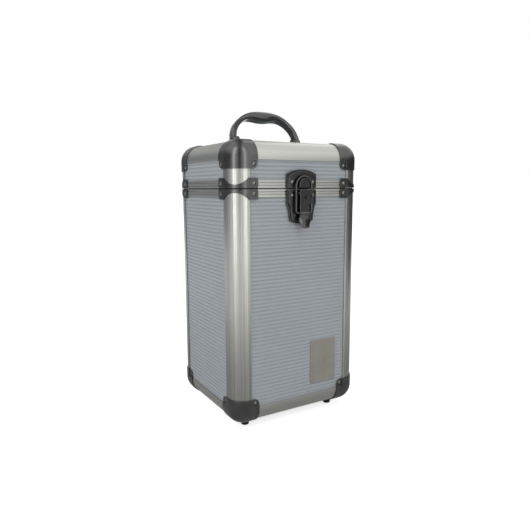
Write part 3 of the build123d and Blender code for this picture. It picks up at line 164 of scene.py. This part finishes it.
def brushed_metal(name, along, tone, roughness, lines, streaks):
    """Satin aluminium: fine drawn lines along one axis, and broader ones in depth and in tone."""
    m = Nodes(name)
    fine = m.noise(2600, 4.0, 0.6, drawn(along, 0.004))
    broad = m.noise(560, 3.0, 0.6, drawn(along, 0.0008))
    cloud = m.noise(18, 3.0)
    bright = srgb(*tone)
    dark = srgb(*(t * (1 - streaks) for t in tone))
    tint = m.mix(m.ramp(broad, 0.0, 1.0, 0.35, 0.65), dark, bright)
    tint = m.mix(m.ramp(cloud, 0.0, 0.25, 0.4, 0.7), tint, dark)
    # painted shade, near black, where parts meet and overlap
    tint = m.mix(m.math("MULTIPLY", m.painted_crease_shade(reach=0.0022), 0.9), tint, srgb(0.06, 0.06, 0.06))
    rough = m.ramp(fine, roughness - 0.06, roughness + 0.10, 0.3, 0.7)
    grain = m.bump(fine, 0.16, 0.00006, edge=0.00035)
    normal = m.bump(broad, lines, 0.0004, below=grain)
    m.surface(Base_Color=tint, Metallic=1.0, Roughness=rough, Normal=normal)
    return m


def gunmetal(name, tone, roughness, edge_wear_and_highlight_share=0.4, crease_shade_reach=0.0014, reach=0.0009):
    """Dark satin plating with faint orange peel, lighter rubbed edges as wide as reach, partly edge wear
    and partly painted highlight, and painted shade in creases and joins.
    """
    m = Nodes(name)
    peel = m.noise(1500, 2.0)
    cloud = m.noise(45, 4.0)
    base = m.mix(m.ramp(cloud, 0.0, 1.0, 0.35, 0.65), srgb(*tone), srgb(*(t * 1.16 for t in tone)))
    # lighter edges: part edge wear, part painted highlight
    base = m.mix(m.math("MULTIPLY", m.edge_wear_and_highlight(reach), edge_wear_and_highlight_share), base, srgb(0.62, 0.61, 0.59))
    # painted shade, near black, in creases and joins
    base = m.mix(m.painted_crease_shade(crease_shade_reach), base, srgb(0.03, 0.03, 0.03))
    rough = m.ramp(cloud, roughness - 0.02, roughness + 0.05, 0.35, 0.65)
    normal = m.bump(peel, 0.04, 0.00003, edge=0.00045)
    m.surface(Base_Color=base, Metallic=0.8, Roughness=rough, Normal=normal)
    return m


def panel_board():
    """Satin grey-blue laminate, a little paler on the ribs than down in the grooves, where the darkening is
    painted shade.
    """
    m = Nodes("panel_board")
    fleck = m.noise(2200, 3.0)
    cloud = m.noise(14, 3.0)
    groove_shade = m.add("AmbientOcclusion", {"Distance": 0.0016}, samples=8).outputs["AO"]
    base = m.mix(m.ramp(fleck, 0.0, 1.0, 0.35, 0.65), srgb(0.620, 0.642, 0.660), srgb(0.645, 0.665, 0.682))
    base = m.mix(m.ramp(cloud, 0.0, 0.35, 0.4, 0.7), base, srgb(0.605, 0.628, 0.648))
    # painted shade down in the grooves
    base = m.mix(m.ramp(groove_shade, 0.12, 0.0, 0.55, 0.98), base, srgb(0.50, 0.52, 0.54))
    rough = m.ramp(fleck, 0.42, 0.52, 0.3, 0.7)
    normal = m.bump(fleck, 0.12, 0.00005, edge=0.0002)
    m.surface(Base_Color=base, Roughness=rough, Normal=normal, Specular_IOR_Level=0.42)
    return m


def moulded(name, tone, roughness, depth=0.00008, coat=0.0):
    """Moulded plastic or rubber with a fine grain of the given depth, and a glossy skin where coat is 1."""
    m = Nodes(name)
    fine = m.noise(1600, 3.0)
    cloud = m.noise(40, 3.0)
    base = m.mix(m.ramp(cloud, 0.0, 1.0, 0.35, 0.65), srgb(*tone), srgb(*(t * 1.12 for t in tone)))
    rough = m.ramp(fine, roughness - 0.05, roughness + 0.07, 0.3, 0.7)
    normal = m.bump(fine, 0.2, depth, edge=0.0004)
    m.surface(Base_Color=base, Roughness=rough, Normal=normal)
    m.surface(Specular_IOR_Level=0.5 - 0.3 * coat, Coat_Weight=coat, Coat_Roughness=0.12, Coat_IOR=1.8)
    return m


def bright_metal(name, tone, roughness):
    """Plated steel with a little unevenness."""
    m = Nodes(name)
    cloud = m.noise(350, 3.0)
    base = m.mix(m.ramp(cloud, 0.0, 1.0, 0.35, 0.65), srgb(*(t * 0.86 for t in tone)), srgb(*tone))
    rough = m.ramp(cloud, roughness - 0.05, roughness + 0.08, 0.3, 0.7)
    normal = m.bump(cloud, 0.15, 0.00006, edge=0.0003)
    m.surface(Base_Color=base, Metallic=1.0, Roughness=rough, Normal=normal)
    return m


def plate_metal():
    """Warm grey blasted plate with a fine pitted field."""
    m = Nodes("plate_metal")
    pits = m.noise(1500, 4.0, 0.6)
    cloud = m.noise(60, 4.0)
    base = m.mix(m.ramp(cloud, 0.0, 1.0, 0.3, 0.7), srgb(0.605, 0.585, 0.558), srgb(0.64, 0.62, 0.592))
    # lighter edges: part edge wear, part painted edge highlight
    base = m.mix(m.math("MULTIPLY", m.edge_wear_and_highlight(0.0007), 0.4), base, srgb(0.8, 0.78, 0.75))
    rough = m.ramp(pits, 0.48, 0.62, 0.3, 0.7)
    normal = m.bump(pits, 0.35, 0.0001, edge=0.0003)
    m.surface(Base_Color=base, Metallic=0.55, Roughness=rough, Normal=normal)
    return m


def lining_cloth():
    """Charcoal flocked foam: short pile with sheen and darker pressed patches."""
    m = Nodes("lining_foam")
    pile = m.noise(2400, 4.0, 0.7)
    patch = m.noise(30, 4.0)
    base = m.mix(m.ramp(pile, 0.0, 1.0, 0.3, 0.7), srgb(0.15, 0.15, 0.16), srgb(0.25, 0.25, 0.265))
    base = m.mix(m.ramp(patch, 0.0, 0.5, 0.4, 0.7), base, srgb(0.13, 0.13, 0.14))
    normal = m.bump(pile, 0.5, 0.0003)
    m.surface(Base_Color=base, Roughness=0.95, Normal=normal, Sheen_Weight=0.35, Sheen_Roughness=0.5)
    return m


X_AXIS, Y_AXIS, Z_AXIS = range(3)


def grey(level):
    return (level, level, level)


def brushed_rail(name, along):
    return brushed_metal(name, along, (0.79, 0.79, 0.77), roughness=0.40, lines=0.03, streaks=0.04)


def brushed_rim(name, along):
    return brushed_metal(name, along, (0.79, 0.79, 0.77), roughness=0.36, lines=0.04, streaks=0.07)


FINISHES = [
    panel_board(),
    moulded("bottom_board", (0.20, 0.20, 0.21), roughness=0.6),
    brushed_metal("post_aluminium", Z_AXIS, (0.81, 0.81, 0.79), roughness=0.32, lines=0.55, streaks=0.20),
    brushed_rail("rail_aluminium_x", X_AXIS),
    brushed_rail("rail_aluminium_y", Y_AXIS),
    brushed_rim("rim_aluminium_x", X_AXIS),
    brushed_rim("rim_aluminium_y", Y_AXIS),
    gunmetal("cap_steel", grey(0.34), roughness=0.22),
    gunmetal("brace_steel", grey(0.32), roughness=0.24, edge_wear_and_highlight_share=0.1, crease_shade_reach=0.0020),
    moulded("foot_rubber", grey(0.07), roughness=0.75),
    bright_metal("rivet_steel", (0.52, 0.52, 0.50), roughness=0.22),
    plate_metal(),
    lining_cloth(),
    gunmetal("hinge_steel", grey(0.34), roughness=0.32),
    bright_metal("pin_steel", (0.70, 0.70, 0.69), roughness=0.30),
    gunmetal("latch_metal", grey(0.235), roughness=0.20, edge_wear_and_highlight_share=0.35, crease_shade_reach=0.0036, reach=0.0011),
    gunmetal("lever_metal", grey(0.23), roughness=0.22, edge_wear_and_highlight_share=0.5, crease_shade_reach=0.0026),
    # darker than the lever: painted shade for the plug sunk behind the lever's face
    gunmetal("lock_metal", grey(0.15), roughness=0.26, edge_wear_and_highlight_share=0.2),
    gunmetal("bail_wire", grey(0.30), roughness=0.14, edge_wear_and_highlight_share=0.0, crease_shade_reach=0.0030),
    moulded("handle_plastic", grey(0.09), roughness=0.34, depth=0.00002, coat=1.0),
    gunmetal("bracket_metal", grey(0.29), roughness=0.28),
]
MATERIALS = {finish.name: finish.material for finish in FINISHES}


def dress_nodes():
    """Gives every CAD node the material of its slot."""
    for part in frame["record"]["subparts"]:
        mesh = frame["nodes"][part["node"]].data
        mesh.materials.clear()
        mesh.materials.append(MATERIALS[part["material_slot"]])


dress_nodes()


# Mesh building


def ring_loop(half_x, half_y, radius, z, steps=10):
    """Points of a rounded rectangle at height z, anticlockwise."""
    points = []
    for corner, (sign_x, sign_y) in enumerate(((1, 1), (-1, 1), (-1, -1), (1, -1))):
        centre_x = sign_x * (half_x - radius)
        centre_y = sign_y * (half_y - radius)
        for step in range(steps + 1):
            angle = radians(90 * (corner + step / steps))
            points.append(Vector((centre_x + radius * cos(angle), centre_y + radius * sin(angle), z)))
    return points


def skin(name, loops, slot, body, ring=False):
    """Closed mesh through loops of equal length, capped at both ends or joined end to end as a ring."""
    mesh = bpy.data.meshes.new(name)
    count = len(loops[0])
    points = [tuple(point) for loop in loops for point in loop]
    faces = []
    for row in range(len(loops) if ring else len(loops) - 1):
        for column in range(count):
            after = (column + 1) % count
            low, high = row * count, (row + 1) % len(loops) * count
            faces.append((low + column, low + after, high + after, high + column))
    if not ring:
        faces.append(tuple(reversed(range(count))))
        faces.append(tuple((len(loops) - 1) * count + column for column in range(count)))
    mesh.from_pydata(points, [], faces)
    thing = bpy.data.objects.new(name, mesh)
    bpy.context.collection.objects.link(thing)
    tidy = bmesh.new()
    tidy.from_mesh(mesh)
    bmesh.ops.remove_doubles(tidy, verts=tidy.verts, dist=1e-7)
    bmesh.ops.recalc_face_normals(tidy, faces=tidy.faces)
    for face in tidy.faces:
        face.smooth = True
    tidy.to_mesh(mesh)
    tidy.free()
    mesh.materials.append(MATERIALS[slot])
    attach(thing, body)
    return thing


# Lining

LINING_THICKNESS = 2.5 * MM
LINING_RADIUS = 9 * MM
LINING_RIPPLE = 0.25 * MM
RIPPLES_PER_METRE = 28
BEND_STEPS = 6
WALL_ROWS = 24
LEAST_RADIUS = 0.01 * MM


def make_lining(name, node, body, opens_up):
    """Flocked foam tub in the space of its CAD solid, with a rounded lip and slightly uneven walls."""
    low, high = (Vector(corner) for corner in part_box(node))
    half = (high - low) / 2
    floor, mouth = (low.z, high.z) if opens_up else (high.z, low.z)
    rise = 1 if opens_up else -1
    loops = []

    def loop(inset, height, radius):
        """Height is from the tub's floor towards its mouth."""
        loops.append(ring_loop(half.x - inset, half.y - inset, radius, floor + rise * height))

    depth = abs(mouth - floor)
    for step in range(BEND_STEPS + 1):
        angle = radians(90 * step / BEND_STEPS)
        inset = LINING_RADIUS * (1 - sin(angle))
        loop(inset, LINING_RADIUS * (1 - cos(angle)), LINING_RADIUS - inset + LEAST_RADIUS)
    lip = LINING_THICKNESS / 2
    for step in range(BEND_STEPS + 1):
        angle = radians(180 * step / BEND_STEPS)
        inset = lip * (1 - cos(angle))
        loop(inset, depth - lip + lip * sin(angle), LINING_RADIUS - inset)
    outside = len(loops)
    inner_radius = LINING_RADIUS - LINING_THICKNESS
    for row in range(1, WALL_ROWS):
        height = depth - lip - (depth - lip - LINING_RADIUS) * row / WALL_ROWS
        loop(LINING_THICKNESS, height, inner_radius)
    for step in range(BEND_STEPS + 1):
        angle = radians(90 * step / BEND_STEPS)
        inset = inner_radius * (1 - cos(angle))
        height = LINING_RADIUS - inner_radius * sin(angle)
        loop(LINING_THICKNESS + inset, height, inner_radius - inset + LEAST_RADIUS)
    for points in loops[outside:]:
        for point in points:
            ripple = noise.noise(point * RIPPLES_PER_METRE) * LINING_RIPPLE
            point.x += ripple if point.x < 0 else -ripple
            point.y += ripple if point.y < 0 else -ripple
    tub = skin(name, loops, "lining_foam", body)
    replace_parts(tub, node)


make_lining("case_lining_foam", "case_liner", "case", opens_up=True)
make_lining("lid_lining_foam", "lid_liner", "lid", opens_up=False)


# Dark strip in the rim seam: painted shade for the gap between body and lid

RIM_TOP = 319.5 * MM
LID_EDGE = 320.9 * MM
HALF_WIDTH = 100.0 * MM
HALF_DEPTH = 88.5 * MM
RAIL_RADIUS = 22 * MM


def make_seam_shade_strip():
    """Black rubber-finished strip along the rim, painted shade for the dark seam line, set back from the
    faces, sunk in the body's edge and clear of the lid's.
    """
    setback, width, rounding = 0.7 * MM, 3.6 * MM, 0.35 * MM
    sunk, clearance = 0.05 * MM, 0.15 * MM
    low, high = RIM_TOP - sunk, LID_EDGE - clearance
    outline = [
        (0, low),
        (0, high - rounding),
        (rounding, high),
        (width - rounding, high),
        (width, high - rounding),
        (width, low),
    ]
    loops = []
    for inset, z in outline:
        inset += setback
        loops.append(ring_loop(HALF_WIDTH - inset, HALF_DEPTH - inset, RAIL_RADIUS - inset, z, 16))
    skin("seam_shade_strip", loops, "foot_rubber", "case", ring=True)


make_seam_shade_strip()


# Handle: a swept grip with ridged legs, and the round bosses at its two pivots

HANDLE_PIVOT = Vector((0, 0, 386.1 * MM))
HANDLE_TILT = radians(19)
HANDLE_UP = Vector((0, sin(HANDLE_TILT), cos(HANDLE_TILT)))
HANDLE_SIDE = Vector((1, 0, 0))
HANDLE_FRONT = HANDLE_SIDE.cross(HANDLE_UP)
HANDLE_HALF_WIDTH = 55.5 * MM
HANDLE_REACH = 43.5 * MM
HANDLE_SQUARENESS = 2.15
HANDLE_BOSS_RADIUS = 6.6 * MM
HANDLE_BOSS_HALF = 3.8 * MM
HANDLE_BOSS_EDGE = 0.7 * MM
HANDLE_LEG = (7.2 * MM, 12.5 * MM, 2.6 * MM)  # thickness, depth and rounding
HANDLE_GRIP = (14.2 * MM, 20.0 * MM, 6.9 * MM)
BACK_GROOVES = (0.22, 2.8 * MM, 1.2 * MM)  # place as a share of the side, width and depth
SIDE_GROOVE = (0.05, 2.3 * MM, 1.3 * MM)
HANDLE_STATIONS = 84
CORNER_STEPS = 8
RUN_STEPS = 16


def eased(value, start, end):
    """Rises smoothly from 0 at start to 1 at end."""
    share = min(max((value - start) / (end - start), 0), 1)
    return share * share * (3 - 2 * share)


def blend(low, high, share):
    return low + (high - low) * share


def groove(value, centre, width):
    """1 in the middle of a groove and 0 away from it."""
    return max(0.0, 1 - ((value - centre) / (width / 2)) ** 2)


def handle_section(thickness, depth, rounding, ridges):
    """Points round the grip: u away from the hand, v towards the front, with grooves cut on three sides."""
    outline = []
    for number, (sign_u, sign_v) in enumerate(((1, 1), (-1, 1), (-1, -1), (1, -1))):
        centre = (sign_u * (thickness / 2 - rounding), sign_v * (depth / 2 - rounding))
        for step in range(CORNER_STEPS + 1):
            angle = radians(90 * (number + step / CORNER_STEPS))
            outline.append((centre[0] + rounding * cos(angle), centre[1] + rounding * sin(angle)))
    points = []
    for place, (u, v) in enumerate(outline):
        after = outline[(place + 1) % len(outline)]
        steps = RUN_STEPS if place % (CORNER_STEPS + 1) == CORNER_STEPS else 1
        for step in range(steps):
            points.append((blend(u, after[0], step / steps), blend(v, after[1], step / steps)))
    cut = []
    for u, v in points:
        if u > thickness / 2 - 0.3 * rounding:
            place, width, deep = BACK_GROOVES
            u -= deep * ridges * (groove(v, place * depth, width) + groove(v, -place * depth, width))
        if abs(v) > depth / 2 - 0.3 * rounding:
            place, width, deep = SIDE_GROOVE
            v -= (1 if v > 0 else -1) * deep * ridges * groove(u, place * thickness, width)
        cut.append((u, v))
    return cut


def handle_loop(angle):
    """Section of the handle at an angle along its arch, from one pivot to the other."""
    power, slope = 2 / HANDLE_SQUARENESS, HANDLE_SQUARENESS - 1
    sign = 1 if cos(angle) > 0 else -1
    reach_x = abs(cos(angle)) ** power * sign
    reach_y = abs(sin(angle)) ** power
    normal_x = abs(reach_x) ** slope / HANDLE_HALF_WIDTH * sign
    normal_y = reach_y**slope / HANDLE_REACH
    outward = (HANDLE_SIDE * normal_x + HANDLE_UP * normal_y).normalized()
    along_x = HANDLE_SIDE * reach_x * HANDLE_HALF_WIDTH
    outer = HANDLE_PIVOT + along_x + HANDLE_UP * reach_y * HANDLE_REACH
    distance = abs(reach_x) * HANDLE_HALF_WIDTH
    belly = eased(distance, 34 * MM, 2 * MM)
    swell = eased(distance, HANDLE_HALF_WIDTH, 5 * MM)
    smooth = eased(distance, 50 * MM, 22 * MM)
    thickness = blend(HANDLE_LEG[0], HANDLE_GRIP[0], belly)
    depth = blend(HANDLE_LEG[1], HANDLE_GRIP[1], swell)
    rounding = min(blend(HANDLE_LEG[2], HANDLE_GRIP[2], smooth), 0.48 * thickness)
    middle = outer - outward * thickness / 2
    section = handle_section(thickness, depth, rounding, 1 - smooth)
    return [middle + outward * u + HANDLE_FRONT * v for u, v in section]


def make_boss(name, side):
    """Round end of a leg at its pivot."""
    centre = HANDLE_PIVOT + HANDLE_SIDE * side * (HANDLE_HALF_WIDTH - HANDLE_LEG[0] / 2)
    half, small = HANDLE_BOSS_HALF, HANDLE_BOSS_RADIUS - HANDLE_BOSS_EDGE
    near = half - HANDLE_BOSS_EDGE
    turns = [radians(360 * step / 48) for step in range(48)]
    profile = ((-half, small), (-near, HANDLE_BOSS_RADIUS), (near, HANDLE_BOSS_RADIUS), (half, small))
    loops = []
    for along, radius in profile:
        loops.append([centre + Vector((along, radius * cos(turn), radius * sin(turn))) for turn in turns])
    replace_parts(skin(name, loops, "handle_plastic", "handle"), "handle")


def make_handle():
    loops = [handle_loop(pi * station / HANDLE_STATIONS) for station in range(HANDLE_STATIONS + 1)]
    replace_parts(skin("handle_grip", loops, "handle_plastic", "handle"), "handle")
    make_boss("handle_boss_left", -1)
    make_boss("handle_boss_right", 1)


make_handle()


# Crown of the latch's thumb tongue

SEAM_MIDDLE = 320.2 * MM
TONGUE_FACE = 9.8 * MM
TONGUE_NECK = -32.4 * MM
TONGUE_BEND = 58.0 * MM  # radius of the tongue's outward bend

# Levels from the seam, negative below it, and half widths of the crown there, in millimetres
CROWN_MARKS = [
    (-34.0, 6.3),
    (-36.2, 7.6),
    (-38.6, 8.4),
    (-42.0, 8.1),
    (-45.0, 7.1),
    (-47.5, 5.6),
    (-49.6, 3.6),
    (-50.8, 1.2),
]
CROWN_TOP, CROWN_TIP = CROWN_MARKS[0][0], CROWN_MARKS[-1][0]
CROWN_RISE = 1.25
CROWN_SKIRT = 1.2


def front_point(x, out, level):
    """Point from its place across, out from the front face and above the seam, in millimetres."""
    return Vector((x * MM, -HALF_DEPTH - out * MM, SEAM_MIDDLE + level * MM))


def crown_half_width(level):
    for (high, wide), (low, narrow) in zip(CROWN_MARKS, CROWN_MARKS[1:]):
        if level >= low:
            return blend(wide, narrow, (high - level) / (high - low))
    return CROWN_MARKS[-1][1]


def make_tongue_crown():
    """Convex thumb pad over the flared end of the tongue."""
    loops = []
    rows, across = 34, 16
    for row in range(rows + 1):
        level = blend(CROWN_TOP, CROWN_TIP, row / rows)
        half = crown_half_width(level)
        run = TONGUE_NECK - level * MM
        face = (TONGUE_FACE + TONGUE_BEND - (TONGUE_BEND**2 - run**2) ** 0.5) / MM
        height = CROWN_RISE * eased(level, CROWN_TOP, -40.0) * (1 - 0.97 * eased(level, -42.0, CROWN_TIP))
        places = [blend(-half, half, step / across) for step in range(across + 1)]
        loop = [front_point(x, face + height * (1 - (x / half) ** 2), level) for x in places]
        loop += [front_point(x, face - CROWN_SKIRT, level) for x in reversed(places)]
        loops.append(loop)
    # the pad takes the paler, glossier bail_wire finish, not the lever's own: painted light on the
    # upward-facing tongue
    skin("tongue_crown", loops, "bail_wire", "latch_lever")


make_tongue_crown()


# Keyhole shade: thin dark sheets of painted shade on the plug for its round hole and on the lever for the
# slot below it

LEVER_FACE = 11.5
LOCK_FACE = LEVER_FACE - 0.6
KEYHOLE_LEVEL = -10.4
KEYHOLE_RADIUS = 1.7
KEYHOLE_PROUD = 0.06
KEY_SLOT_PROUD = 0.04
SHADE_SHEET_THICKNESS = 0.3


def make_shade_sheet(name, outline, face, body):
    """Thin dark sheet of painted shade let into the latch, with its face that far out; outline holds x and
    level.
    """
    loops = []
    for out in (face, face - SHADE_SHEET_THICKNESS):
        loops.append([front_point(x, out, level) for x, level in outline])
    skin(name, loops, "foot_rubber", body)


def make_keyhole_shade_sheets():
    turns = [radians(15 * step) for step in range(24)]
    hole = [(KEYHOLE_RADIUS * cos(turn), KEYHOLE_LEVEL + KEYHOLE_RADIUS * sin(turn)) for turn in turns]
    make_shade_sheet("keyhole_shade", hole, LOCK_FACE + KEYHOLE_PROUD, "lock_cylinder")
    slot = [(-0.45, -14.9), (-0.45, -17.2), (-0.2, -17.5), (0.2, -17.5)]
    slot += [(0.45, -17.2), (0.45, -14.9), (0.2, -14.6), (-0.2, -14.6)]
    make_shade_sheet("key_slot_shade", slot, LEVER_FACE + KEY_SLOT_PROUD, "latch_lever")


make_keyhole_shade_sheets()


# Studio: floor, soft lamps and camera


def stage_sheet(name, half_x, half_y, place=(0, 0, 0)):
    """Flat rectangle that belongs to the studio."""
    mesh = bpy.data.meshes.new(name)
    corners = [(-half_x, -half_y, 0), (half_x, -half_y, 0), (half_x, half_y, 0), (-half_x, half_y, 0)]
    mesh.from_pydata(corners, [], [(0, 1, 2, 3)])
    sheet = bpy.data.objects.new(name, mesh)
    bpy.context.collection.objects.link(sheet)
    sheet.location = place
    return sheet


def make_floor():
    """White floor that looks as white as the background and keeps a faint shadow."""
    floor = stage_sheet("floor", 6.0, 6.0)
    m = Nodes("floor")
    m.surface(Base_Color=(0.9, 0.9, 0.9, 1.0), Roughness=0.9)
    glow = m.add("Emission", {"Color": (1, 1, 1, 1), "Strength": 0.72})
    both = m.add("AddShader", {0: m.shader.outputs["BSDF"], 1: glow.outputs["Emission"]})
    rays = m.add("LightPath")
    seen = m.math("MAXIMUM", rays.outputs["Is Camera Ray"], rays.outputs["Is Glossy Ray"])
    seen = m.math("MAXIMUM", seen, rays.outputs["Is Transmission Ray"])
    choice = m.add("MixShader", {0: seen, 1: m.shader.outputs["BSDF"], 2: both.outputs["Shader"]})
    m.set(m.output.inputs["Surface"], choice.outputs["Shader"])
    floor.data.materials.append(m.material)


def make_world(level):
    """White to the eye and in reflections, and a plain even level on the object."""
    world = bpy.data.worlds.new("studio")
    bpy.context.scene.world = world
    world.use_nodes = True
    tree = world.node_tree
    rays = tree.nodes.new("ShaderNodeLightPath")
    seen = rays.outputs["Is Camera Ray"]
    for kind in ("Is Glossy Ray", "Is Transmission Ray"):
        either = tree.nodes.new("ShaderNodeMath")
        either.operation = "MAXIMUM"
        tree.links.new(seen, either.inputs[0])
        tree.links.new(rays.outputs[kind], either.inputs[1])
        seen = either.outputs[0]
    strength = tree.nodes.new("ShaderNodeMapRange")
    strength.inputs["To Min"].default_value = level
    strength.inputs["To Max"].default_value = 1.0
    tree.links.new(seen, strength.inputs["Value"])
    background = tree.nodes["Background"]
    background.inputs["Color"].default_value = (1, 1, 1, 1)
    tree.links.new(strength.outputs["Result"], background.inputs["Strength"])


def aim(thing):
    """Turns a lamp or card to face the middle of the case."""
    direction = Vector((0, 0, 0.2)) - thing.location
    thing.rotation_euler = direction.to_track_quat("-Z", "Y").to_euler()


def polar(azimuth, distance, height):
    """Place seen from the middle of the case: azimuth from straight ahead (-Y) round to the left."""
    turn = Matrix.Rotation(radians(-azimuth), 4, "Z")
    return turn @ Vector((0, -distance, height))


def softbox(name, azimuth, distance, height, width, tall, level, mirrored=True):
    """Rectangular lamp; level is how bright its face is, where a white backdrop is 1."""
    lamp = bpy.data.lights.new(name, "AREA")
    lamp.shape = "RECTANGLE"
    lamp.size = width
    lamp.size_y = tall
    lamp.energy = level * pi * width * tall
    thing = bpy.data.objects.new(name, lamp)
    bpy.context.collection.objects.link(thing)
    thing.location = polar(azimuth, distance, height)
    aim(thing)
    thing.visible_camera = False
    thing.visible_glossy = mirrored


def show_in_mirrors(sheet, m, solid, colour):
    """Glows in its colour where solid is 1, is clear where it is 0, and shows in reflections alone."""
    for unseen in ("camera", "diffuse", "shadow", "transmission", "volume_scatter"):
        setattr(sheet, "visible_" + unseen, False)
    glow = m.add("Emission", {"Color": (*colour, 1.0), "Strength": 1.0})
    clear = m.add("BsdfTransparent")
    choice = m.add("MixShader", {0: solid, 1: clear.outputs["BSDF"], 2: glow.outputs["Emission"]})
    m.set(m.output.inputs["Surface"], choice.outputs["Shader"])
    sheet.data.materials.append(m.material)


def card(name, azimuth, distance, height, width, tall, soft, colour):
    """Coloured card facing the case; soft is how far it fades at its edges, across and up."""
    across, up = width / 2, tall / 2
    sheet = stage_sheet(name, across, up, polar(azimuth, distance, height))
    aim(sheet)
    m = Nodes(name)
    solid = m.math("MULTIPLY", m.fade(X_AXIS, across, soft[0]), m.fade(Y_AXIS, up, soft[1]))
    show_in_mirrors(sheet, m, solid, colour)


def floor_card(name, centre, height, level, near, far):
    """Grey sheet on the floor, fading out from near to far round its centre."""
    sheet = stage_sheet(name, far, far, (*centre, height))
    m = Nodes(name)
    spot = m.add("TexCoord").outputs["Object"]
    distance = m.add("VectorMath", {0: spot}, operation="LENGTH").outputs["Value"]
    show_in_mirrors(sheet, m, m.ramp(distance, 1.0, 0.0, near, far), grey(level))


def make_camera():
    lens = bpy.data.cameras.new("camera")
    lens.sensor_width = SENSOR
    lens.lens = FOCAL_PIXELS / IMAGE_SIDE * SENSOR
    camera = bpy.data.objects.new("camera", lens)
    bpy.context.collection.objects.link(camera)
    yaw = Matrix.Rotation(radians(-CAMERA_YAW), 4, "Z")
    pitch = Matrix.Rotation(radians(90 - CAMERA_PITCH), 4, "X")
    roll = Matrix.Rotation(radians(CAMERA_ROLL), 4, "Z")
    camera.matrix_world = Matrix.Translation(CAMERA_PLACE) @ yaw @ pitch @ roll
    bpy.context.scene.camera = camera


make_floor()
make_world(level=0.45)

# Lamps and cards: azimuth, distance and height of the middle, then width and height
softbox("strip_corner", 62, 1.8, 1.1, 0.50, 2.8, level=2.7)
softbox("strip_front", -4, 1.8, 1.1, 0.40, 2.8, level=2.5)
softbox("key", 22, 1.1, 1.0, 0.8, 0.8, level=0.55, mirrored=False)
softbox("fill_left", 112, 1.4, 0.9, 0.8, 0.8, level=1.4, mirrored=False)
softbox("top", 0, 0.1, 2.2, 1.8, 1.8, level=0.5, mirrored=False)
card("card_dark", 28, 1.7, 1.3, 0.90, 4.2, soft=(0.12, 0.12), colour=grey(0.03))
card("card_over", -155, 1.0, 2.2, 1.2, 4.2, soft=(0.4, 0.4), colour=grey(0.08))
card("card_left", 126, 1.9, 0.5, 4.6, 2.4, soft=(0.7, 0.7), colour=(0.19, 0.20, 0.22))
card("card_right", -87, 1.9, 0.3, 5.2, 1.9, soft=(0.15, 0.6), colour=grey(0.05))
card("card_bright", -124, 1.3, 1.7, 0.6, 1.5, soft=(0.25, 0.5), colour=(2.0, 2.0, 1.95))
card("card_back", 176, 1.7, 1.5, 2.2, 1.5, soft=(0.6, 0.5), colour=grey(0.34))
floor_card("floor_card_near", (0, 0), 0.0005, level=0.30, near=0.35, far=1.5)
floor_card("floor_card_right", (2.2, -0.85), 0.001, level=0.06, near=1.1, far=1.6)

make_camera()
bpy.context.scene.view_settings.view_transform = "Standard"
